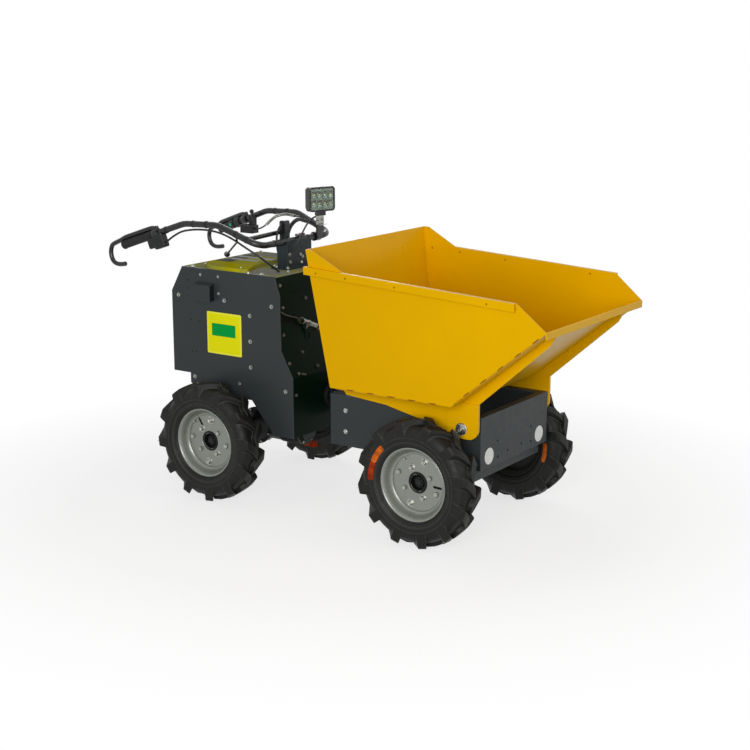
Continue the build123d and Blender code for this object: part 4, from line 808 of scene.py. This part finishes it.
def rear_and_floor():
    panel, under = surface("rear_panel"), surface("floor_pan")
    lo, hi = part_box("rear_panel")
    f = Form()
    for y in (-0.195, 0.0, 0.195):
        for t in (0.06, 0.62, 0.92):
            start = (lo.x - 0.1, y, lo.z + (hi.z - lo.z) * t)
            bolt(f, *landed(panel, start, FORE), 9.0, 4.0, turn=y * 9)
    for x in (-1.030, -0.720, -0.575):
        for y in (-0.190, 0.190):
            bolt(f, *landed(under, spot(x, y, 0.05), UP), 9.0, 4.0, turn=x * 9)
    f.make("rear_panel_bolts", "rear_body", [zinc], "steel")


side_plates()
side_label()
side_box_front_shade()
top_cover()
battery_lid()
bulkhead()
rear_and_floor()


# -------------------------- handlebar and lamp
# the left-hand bar, from the cross tube to the grip's end
BAR_FOOT, BAR_CREST, BAR_BEND, BAR_END = (at_rear(*p) for p in (
    (0.143, 0.196, 0.6655), (-0.019, 0.219, 0.7265), (-0.160, 0.225, 0.7225),
    (-0.409, 0.259, 0.6345)))
BAR_RUN = (BAR_END - BAR_BEND).normalized()
BUTTON_AT = 0.735      # share of the way along the grip's run
BAR_R = 11.1           # just over the bar's own radius, mm
GRIP_L = 124.0         # mm


def guards():
    """Hand guards as smooth hooks, in the place of the CAD's tighter bends."""
    up = BAR_RUN.cross(Vector(UP).cross(BAR_RUN)).normalized()
    rise = 0.0229      # of the guard over the bar
    points = [BAR_END - BAR_RUN * back * MM + up * lift for back, lift in (
        (147, 0.016), (132, rise - 0.001), (100, rise), (50, rise), (14, rise),
        (-10, rise - 0.004))]
    points += [at_rear(x - 0.474, 0.262, z) for x, z in (
        (0.0135, 0.6325), (0.0035, 0.6190), (0.0004, 0.6030), (0.0035, 0.5850),
        (0.0125, 0.5715), (0.0270, 0.5650), (0.0450, 0.5640), (0.0600, 0.5662),
        (0.0700, 0.5680))]
    f = Form()
    for sy in SIDES:
        line = smooth_path([flip(p, sy) for p in points], per=6)
        f.tube(line, [0.0081] * (len(line) - 2) + [0.0079, 0.0062], 20)
        mid, way = flip(BAR_END - BAR_RUN * 0.143, sy), flip(BAR_RUN, sy)
        f.lathe([(BAR_R, 0), (16.6, 0), (17.2, 1), (17.2, 23), (16.6, 24), (BAR_R, 24)], 36,
                fit(mid - way * 0.012, way), closed=True)
        clip = fit(mid + flip(up, sy) * 0.0185, way, (0, 1, 0))
        f.block((14, 24, 13), clip @ Matrix.Rotation(pi / 2, 4, "X"), ease=2)
    look = f.make("hand_guards_look", "rear_body", [black_paint], "black_steel")
    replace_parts(look, "hand_guards")


def grip_ribs():
    f = Form()
    rows = [(14.6, 0.0), (15.0, 0.0), (16.6, 1.5), (16.6, 4.5), (15.05, 6.0)]
    rows += [(r, 9 + 7 * k + z) for k in range(15)
             for r, z in ((15.02, 0), (15.3, 1.0), (15.3, 4.0), (15.02, 5))]
    rows += [(15.05, 118.0), (16.4, 120.0), (16.4, 125.5), (15.2, 128.0), (12.0, 131.0), (0, 131.6)]
    for sy in SIDES:
        f.lathe(rows, 32, fit(flip(BAR_END - BAR_RUN * GRIP_L * MM, sy), flip(BAR_RUN, sy)))
    f.make("grip_ribs", "rear_body", [grip_rubber], "grip")


def bar_bands():
    """Bands round the bars, the left-hand control's collars, and the purple connector."""
    f = Form()

    def collar(p, way, r, length):
        start = p - Vector(way).normalized() * length / 2 * MM
        f.ring(BAR_R, r, length, 24, fit(start, way))

    runs = {"low": (BAR_FOOT, BAR_CREST), "top": (BAR_CREST, BAR_BEND), "grip": (BAR_BEND, BAR_END)}
    for sy in SIDES:
        for run, t, r, length in (("low", 0.30, 12.0, 9.0), ("low", 0.56, 12.0, 9.0),
                                  ("top", 0.32, 12.4, 8.0), ("top", 0.72, 12.0, 5.0),
                                  ("grip", 0.30, 12.4, 8.0)):
            a, b = (flip(p, sy) for p in runs[run])
            collar(a.lerp(b, t), b - a, r, length)
    for y in (-0.12, 0.06, 0.15):
        collar(Vector((BAR_FOOT.x, y, BAR_FOOT.z)), (0, 1, 0), 12.0, 6.0)
    for t, r, length in ((0.60, 20.0, 26.0), (BUTTON_AT, 17.4, 24.0)):
        collar(BAR_BEND.lerp(BAR_END, t), BAR_RUN, r, length)
    f.block((13, 20, 9), fit(at_rear(0.150, 0.024, 0.682), UP), slot=1)
    f.make("bar_bands", "rear_body", [black_plastic, connector_purple], "black_plastic")


def bar_bolts():
    """Bolts of the post, its foot and the stay, the lamp's pale angle and the cable clip."""
    lo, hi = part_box("handlebar_post")
    post, f = surface("handlebar_post"), Form()
    for y, z in ((0.003, 0.822), (0.0145, 0.813), (0.0085, 0.795), (-0.058, 0.828),
                 (-0.054, 0.802), (0.052, 0.815)):
        bolt(f, *landed(post, (hi.x + 0.1, y, z), AFT), 6.5, 3.5, turn=y * 40)
    for x in (lo.x + 0.008, hi.x - 0.008):
        for y in (-0.074, 0.074):
            bolt(f, (x, y, lo.z + 0.005), UP, 8.0, 4.5, turn=y * 40)
    for z in (0.890, 0.925):
        bolt(f, (RA + 0.106, -0.030, z), AFT, 8.0, 4.0, turn=z * 40)
    # pale angle under the lamp, over the black bracket
    _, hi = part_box("lamp_bracket")
    f.block((2.2, 44, 30), fit((hi.x + 0.0011, 0.112, hi.z - 0.015), UP))
    f.block((16, 44, 2.2), fit((hi.x + 0.008, 0.112, hi.z - 0.031), UP))
    for y in (0.100, 0.124):
        bolt(f, (hi.x + 0.0022, y, hi.z - 0.014), FORE, 7.0, 4.0, turn=y)
    f.block((14, 16, 8), fit(at_rear(0.150, 0.004, 0.682), UP))
    f.make("bar_bolts", "rear_body", [zinc], "steel")


def bar_button():
    """The green button on the left-hand control."""
    seat = BAR_BEND.lerp(BAR_END, BUTTON_AT) + Vector((0, -17.0, -2.0)) * MM
    f = Form()
    f.lathe([(0, 0), (6, 0), (6, 2.5), (4.8, 4), (0, 4.4)], 20, fit(seat, (0, -1, 0.25)))
    f.make("bar_button", "rear_body", [button_green], "black_plastic")


def loom_ribs():
    """Ribs and ties of the loom along part.py's route, and the sleeve of the pull cord."""
    loom = smooth_path([at_rear(x * MM, y * MM, z * MM) for x, y, z in (
        (50, 191.5, 700.5), (62, 156, 709), (76, 120, 717), (89, 84, 722), (98, 50, 718),
        (103, 20, 703), (106, 2, 678), (108, -1, 650), (114, 8, 624), (131, 24, 606),
        (150, 40, 599.5))], per=12)
    f = Form()
    for p, way in spaced(loom, 0.0034)[1:-1]:
        f.lathe([(6.1, -1), (6.9, -0.6), (6.9, 0.6), (6.1, 1)], 14, fit(p, way), closed=True)
    for p, way in spaced(loom, 0.062)[1:]:
        f.lathe([(6.6, -2.2), (7.6, -2), (7.6, 2), (6.6, 2.2)], 18, fit(p, way), 1, closed=True)
    f.tube([at_rear(0.050, -0.200, 0.6728), at_rear(-0.152, -0.0098, 0.5957)], 3.3 * MM, slot=1)
    f.make("loom_ribs", "rear_body", [cable_skin, black_plastic], "cable")


def drive_cable():
    """The control cable that joins the loom, with its spiral sleeve."""
    line = smooth_path([spot(*p) for p in (
        (-1.0425, 0.196, 0.862), (-1.010, 0.190, 0.866), (-0.965, 0.170, 0.885),
        (-0.928, 0.152, 0.906), (-0.892, 0.138, 0.924), (-0.845, 0.130, 0.935),
        (-0.800, 0.128, 0.932), (-0.775, 0.124, 0.9325))], per=12)
    core, coil = Form(), Form()
    core.tube(line, 3.0 * MM, 10)
    core.make("drive_cable", "rear_body", [cable_skin], "cable")
    points = spaced(line, 1.0 * MM)
    start, stop = int(len(points) * 0.30), int(len(points) * 0.92)
    helix = []
    side = points[start][1].orthogonal()
    for i, (p, way) in enumerate(points[start:stop]):
        side = (side - way * side.dot(way)).normalized()
        r = (4.4 + 0.5 * sin((start + i) * 0.6)) * MM
        helix.append(p + (side * cos(i * 1.25) + way.cross(side) * sin(i * 1.25)) * r)
    coil.tube(smooth_path(helix, per=4), 1.15 * MM, 6)
    coil.make("drive_cable_spring", "rear_body", [zinc], "steel")


LAMP_TURN = radians(-20)
CELL = (               # a reflector's width, corner radius and height, from its rim to its floor
    (21.4, 4.0, -0.2), (21.4, 4.0, 2.1), (20.6, 4.0, 2.3), (17.0, 5.0, 1.4), (12.0, 5.5, 0.5),
    (7.0, 3.4, 0.1))


def lamp():
    """Reflector cells, chips and clear cover set into the work lamp."""
    corners = [v.co for v in nodes["lamp_lens"].data.vertices]
    face = Vector((cos(LAMP_TURN), sin(LAMP_TURN), 0))
    at = fit(sum(corners, Vector()) / len(corners) - face * 1.4 * MM, face, (-face.y, face.x, 0))
    w, h = 93.0, 72.5
    cups, chips, cover, screws = Form(), Form(), Form(), Form()
    cups.plate(rounded(w, h, 5), 0.0, 0.3, at)
    for i in range(4):
        for j in range(2):
            cell = at @ Matrix.Translation(((i - 1.5) * 22.6, (j - 0.5) * 30.0, 0.3))
            cups.loft([[(px, py, z) for px, py in rounded(size, size * 1.18, r, 5)]
                       for size, r, z in CELL], cell)
            chips.plate(rounded(4.6, 4.6, 0.6), 0.0, 0.9, cell, ease=0.2)
    cover.plate(rounded(w - 0.4, h - 0.4, 4.8), 3.0, 4.0, at, ease=0.3)
    for x in (-w / 2 - 1.2, w / 2 + 1.2):
        for y in (-h / 2 - 1.2, h / 2 + 1.2):
            dome(screws, at @ Vector((x, y, 2.9)), face, 2.2)
    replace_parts(cups.make("lamp_reflectors", "rear_body", [reflector], "lens"), "lamp_lens")
    chips.make("lamp_chips", "rear_body", [led_yellow], "lens")
    cover.make("lamp_cover", "rear_body", [lamp_glass], "lens")
    screws.make("lamp_screws", "rear_body", [worn_steel], "steel")


guards()
grip_ribs()
bar_bands()
bar_bolts()
bar_button()
loom_ribs()
drive_cable()
lamp()


# -------------------------- front chassis
SKIP_FLOOR, SPOUT_Z = 0.462, 0.7183    # heights of the skip's floor and of its spout's lip


def front_plate():
    """Pale discs, bores and side bolts of the front frame."""
    skin = surface("front_frame")
    front_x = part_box("front_frame")[1].x
    discs, steel, dark = Form(), Form(), Form()
    for y in (-0.160, 0.160):
        discs.lathe([(0, 0), (26.5, 0), (26.5, 0.5), (26.1, 0.8), (0, 0.9)], 40,
                    fit(*landed(skin, (front_x + 0.1, y, 0.2847), AFT)))
    for y in (-0.1065, 0.1065):
        for z in (0.2708, 0.3218):
            dark.ring(0, 4.4, 0.3, 16, fit((front_x - 0.0046, y, z), FORE))
    # side bolts of the axle mounts and of the frame, seen under the skip's brackets
    for sy in SIDES:
        for x, z in ((-0.039, 0.268), (0.039, 0.268), (-0.340, 0.296), (-0.340, 0.366),
                     (0.142, 0.262)):
            bolt(steel, *landed(skin, spot(x, sy * 0.4, z), (0, -sy, 0)), 9.0, 4.0, turn=x * 40)
    discs.make("front_plate_discs", "front_chassis", [disc_white], "body_grey")
    dark.make("front_plate_bores", "front_chassis", [hole_black], "body_grey")
    steel.make("front_frame_bolts", "front_chassis", [zinc], "steel")


def motor_leads():
    """Two thin leads inside the frame, down to the drive motor."""
    frame_lo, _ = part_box("front_frame")
    lo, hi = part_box("front_drive_motor")
    f = Form()
    for y, dy in ((-0.012, -0.055), (0.014, 0.060)):
        top = Vector((frame_lo.x + 0.030, y, 0.352))
        low = Vector((lo.x + 0.040, y + dy * 0.35, hi.z + 0.0005))
        f.tube(smooth_path([top, top + Vector((0.030, dy * 0.8, -0.008)),
                            low + Vector((-0.004, dy * 0.3, 0.022)), low]), 3.4 * MM, 10)
    f.make("motor_leads", "front_chassis", [cable_skin], "cable")


def tip_pins():
    """Turned tipping pins with their grooved heads."""
    mid, half = middle_and_half("tip_pins")
    head, r, shank, length = half.z / MM, 12.4, 36.8, 42.4
    rows = [(0, 0), (r, 0), (r, shank), (head - 1.0, shank), (head, 37.6), (head, 41.2),
            (head - 1.2, length)]
    for r in (head - 3.0, head - 6.5, head - 10.0, head - 13.5):
        rows += [(r + 0.9, length), (r + 0.3, 42.0), (r - 0.3, 42.0), (r - 0.9, length)]
    rows += [(2.6, length), (1.8, 41.0), (0, 40.6)]
    f = Form()
    for sy in SIDES:
        f.lathe(rows, 48, fit((mid.x, sy * (half.y - length * MM), mid.z), (0, sy, 0)))
    look = f.make("tip_pins_look", "front_chassis", [turned_face], "steel", angle=40.0)
    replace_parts(look, "tip_pins")


def buffers():
    """Rubber stops on the frame's rear end, just short of the skip's floor."""
    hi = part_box("front_frame")[1]
    f, h = Form(), (SKIP_FLOOR - 0.0055 - hi.z) / MM
    for sy in SIDES:
        f.lathe([(0, 0), (12, 0), (12, 3), (11.2, 5), (11.2, h - 5), (10, h - 1.5), (7.5, h),
                 (0, h)], 28, fit((FA - 0.280, sy * 0.198, hi.z), UP))
    f.make("skip_buffers", "front_chassis", [buffer_rubber], "grip")


def bolt_circle(form, at, count, r, across, height, first=0.0, lift=0.0, turn=1.0):
    """Bolts without washers on a circle about the local Z of `at`."""
    for k in range(count):
        a = first + 2 * pi * k / count
        bolt(form, at @ Vector((r * cos(a), r * sin(a), lift)), at.col[2].xyz, across, height,
             turn=k * turn, washer=False)


def running_gear():
    """Gearcase flanges, plugs and bolts, alike under both ends."""
    for end, body, way in (("front", "front_chassis", -1), ("rear", "rear_body", 1)):
        x, f, dark = AXLE_X[end], Form(), Form()
        mounts = surface(f"{end}_axle_mounts")
        for sy in SIDES:
            # the gearcase's flange with its bolts, and the bolts of the axle tube's end flange and
            # of the hanger plates
            at = fit((x, sy * 0.049, AXLE_Z), (0, sy, 0))
            dark.lathe([(55, -1), (66, -1), (66, 5), (64.5, 6.5), (54, 6.5)], 64, at, closed=True)
            bolt_circle(f, at, 8, 59.5, 8.0, 4.5, first=pi / 8, lift=6.5)
            bolt_circle(f, fit((x, sy * 0.216, AXLE_Z), (0, -sy, 0)), 6, 38, 8.0, 5.0, first=0.3)
            for dx in (-0.030, 0.030):
                start = (x + dx, sy * 0.02, AXLE_Z + 0.047)
                bolt(f, *landed(mounts, start, (0, sy, 0)), 13.0, 6.0, turn=dx * 70)
        # drain and filling plugs
        for out in (DOWN, UP):
            bolt(f, (x, 0.012, AXLE_Z + out[2] * 0.0614), out, 13.0, 6.0)
        # motor: cooling ribs and end cap bolts
        lo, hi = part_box(f"{end}_drive_motor")
        far = hi.x if way > 0 else lo.x
        for k in range(9):
            dark.lathe([(51.5, -1.3), (55, -1), (55, 1), (51.5, 1.3)], 56,
                       fit((far - way * (26 + 9 * k) * MM, 0, AXLE_Z), FORE))
        cap = fit((far - way * 0.012, 0, AXLE_Z), (way, 0, 0), (0, 1, 0))
        bolt_circle(f, cap, 6, 46, 7.0, 4.0, turn=0.0)
        f.make(f"{end}_gear_bolts", body, [zinc], "steel")
        dark.make(f"{end}_gear_ribs", body, [dark_steel], "hub")


def pivot():
    """Bolts of the yoke's flange, and the pin's end bolts with its grease nipple."""
    yoke_mid, yoke_half = middle_and_half("pivot_yoke")
    pin_mid, pin_half = middle_and_half("pivot_pin")
    flange, f = surface("pivot_yoke"), Form()
    for out in (UP, DOWN):
        bolt(f, (pin_mid.x, 0, pin_mid.z + out[2] * pin_half.z), out, 13.0, 6.0)
    f.lathe([(0, 0), (3, 0), (3, 3), (2, 4), (2, 7), (2.8, 8), (1.2, 10), (0, 10)], 12,
            fit((pin_mid.x + 0.009, 0.007, pin_mid.z + pin_half.z), UP))
    ahead, r = yoke_mid.x + yoke_half.x + 0.05, 0.0345
    for k in range(6):
        a = k * pi / 3 + pi / 6
        start = (ahead, r * cos(a), yoke_mid.z + r * sin(a))
        bolt(f, *landed(flange, start, AFT), 7.0, 4.0, turn=k, washer=False)
    f.make("pivot_bolts", "rear_body", [zinc], "steel")


# -------------------------- skip
def wall_y(x, z):
    """The outer face of the left wall, which leans in towards the floor and the lip."""
    return 0.3403 + 0.0787 * (z - 0.903) - 0.0075 * (x + 0.400)


def bead(form, a, b, steps, r, ends=1.0, sides=8):
    """A weld bead from a to b with a light ripple. r in mm, its ends a share of it."""
    shares = [ends if k in (0, steps) else 1.0 + 0.10 * (k % 2) for k in range(steps + 1)]
    form.tube([a.lerp(b, k / steps) for k in range(steps + 1)], [r * MM * s for s in shares], sides)


def skip_welds():
    """Stitched beads along the foot of the side walls and under the spout, and their gaps."""
    beads, gaps = Form(), Form()
    length, gap, trim = 0.042, 0.034, 0.003

    def stitch(a, b, sy, start):
        run, way, t = (b - a).length, (b - a).normalized(), start
        off = Vector((0, sy * 0.0012, 0.0012))
        while t + length < run:
            bead(beads, a + way * t, a + way * (t + length), 8, 2.6, 0.45, sides=10)
            if t + length + gap < run:
                g0 = a + way * (t + length + trim) + off
                g1 = a + way * (t + length + gap - trim) + off
                gaps.tube([g0, g0.lerp(g1, 0.5), g1], [1.2 * MM, 1.8 * MM, 1.2 * MM], 8)
            t += length + gap

    for sy in SIDES:
        a, b, c = (spot(x, sy * (wall_y(x, z) - 0.0012), z + lift) for x, z, lift in (
            (-0.325, SKIP_FLOOR, 0.0010), (0.112, SKIP_FLOOR, 0.0010), (0.430, SPOUT_Z, 0.0015)))
        stitch(a, b, sy, 0.012)
        stitch(b, c, sy, 0.016)
    beads.make("skip_stitch_welds", "skip", [weld_yellow], "skip_yellow")
    gaps.make("skip_weld_gaps", "skip", [weld_gap], "skip_yellow")


def bracket_seams():
    """Fillet welds between the floor and both faces of each bracket."""
    f = Form()
    length, pitch = 0.045, 0.085
    for sy in SIDES:
        for y in (sy * 0.2213, sy * 0.2287):
            x = -0.330
            while x + length < 0.105:
                bead(f, spot(x, y, 0.4605), spot(x + length, y, 0.4605), 6, 2.4, 0.5)
                x += pitch
    f.make("skip_bracket_welds", "skip", [weld_yellow], "skip_yellow")


def corner_welds():
    """Continuous beads inside the tub's two rear corners."""
    f = Form()
    for sy in SIDES:
        low = spot(-0.328, sy * (wall_y(-0.400, 0.470) - 0.0050), 0.470)
        high = spot(-0.394, sy * (wall_y(-0.400, 0.903) - 0.0045), 0.893)
        bead(f, low, high, 60, 2.7)
    f.make("skip_corner_welds", "skip", [weld_yellow], "skip_yellow")


front_plate()
motor_leads()
tip_pins()
buffers()
running_gear()
pivot()
skip_welds()
bracket_seams()
corner_welds()


# -------------------------- studio
def stage():
    """A white floor that keeps the soft shadow and runs out into the white backdrop."""
    s = Shader("floor_white")
    emit = s.node("ShaderNodeEmission", {"Color": (1, 1, 1, 1), "Strength": 1.0})
    # white to the eye and in reflections, plain diffuse grey for the light thrown back up
    path = s.node("ShaderNodeLightPath").outputs
    s.put(Base_Color=s.mix(path["Is Diffuse Ray"], tone((250, 250, 249)), tone((160, 160, 159))),
          Roughness=0.9, Specular_IOR_Level=0.0)
    seen = path["Is Camera Ray"]
    for other in ("Is Glossy Ray", "Is Transmission Ray"):
        seen = s.node("ShaderNodeMath", {0: seen, 1: path[other]}, operation="MAXIMUM").outputs[0]
    spread = s.node("ShaderNodeVectorMath", {0: s.coords}, operation="LENGTH").outputs["Value"]
    level = s.ramp(spread, 0.95, 1.75, 0.72, 1.0)       # metres from the middle, share of white
    fac = s.node("ShaderNodeMath", {0: seen, 1: level}, operation="MULTIPLY").outputs[0]
    blend = s.node("ShaderNodeMixShader", {"Fac": fac, 1: s.bsdf.outputs[0], 2: emit.outputs[0]})
    s.feed(s.out.inputs["Surface"], blend.outputs[0])
    mesh, size = bpy.data.meshes.new("floor"), 30.0
    mesh.from_pydata([(-size, -size, 0), (size, -size, 0), (size, size, 0), (-size, size, 0)], [],
                     [(0, 1, 2, 3)])
    mesh.materials.append(s.mat)
    floor = add_object("floor", mesh)


def lights():
    """A white world, dimmed for the light it gives, and four soft boxes."""
    world = bpy.data.worlds.new("studio")
    bpy.context.scene.world = world
    w = Nodes(world)
    back = w.tree.nodes["Background"]
    w.feed(back.inputs["Color"], (1, 1, 1, 1))
    diffuse = w.node("ShaderNodeLightPath").outputs["Is Diffuse Ray"]
    w.feed(back.inputs["Strength"], w.ramp(diffuse, 0.0, 1.0, 1.0, 0.30))
    aim = Vector((0, 0, 0.5))
    for name, place, size, watts in (("key", (1.9, -3.9, 1.5), (2.4, 1.8), 122),
                                     ("fill", (3.6, 0.6, 1.8), (2.0, 2.0), 20),
                                     ("top", (-0.2, 0.4, 4.2), (3.0, 2.6), 17),
                                     ("back", (-2.6, 2.6, 2.2), (2.0, 1.6), 26)):
        data = bpy.data.lights.new(name, "AREA")
        data.shape = "RECTANGLE"
        data.size, data.size_y = size
        data.energy = watts
        add_object(name, data, place, aim - Vector(place))


def camera():
    """The photograph's viewpoint, solved for the front axle line."""
    az, el = radians(34.642), radians(13.148)
    view = Vector((-sin(az) * cos(el), cos(az) * cos(el), -sin(el)))
    data = bpy.data.cameras.new("camera")
    data.lens = 71.29
    data.sensor_width = 36.0
    place = spot(2.3905, -3.9966, 1.5747)
    bpy.context.scene.camera = add_object("camera", data, place, view)


stage()
lights()
camera()
bpy.context.scene.view_settings.view_transform = "Standard"
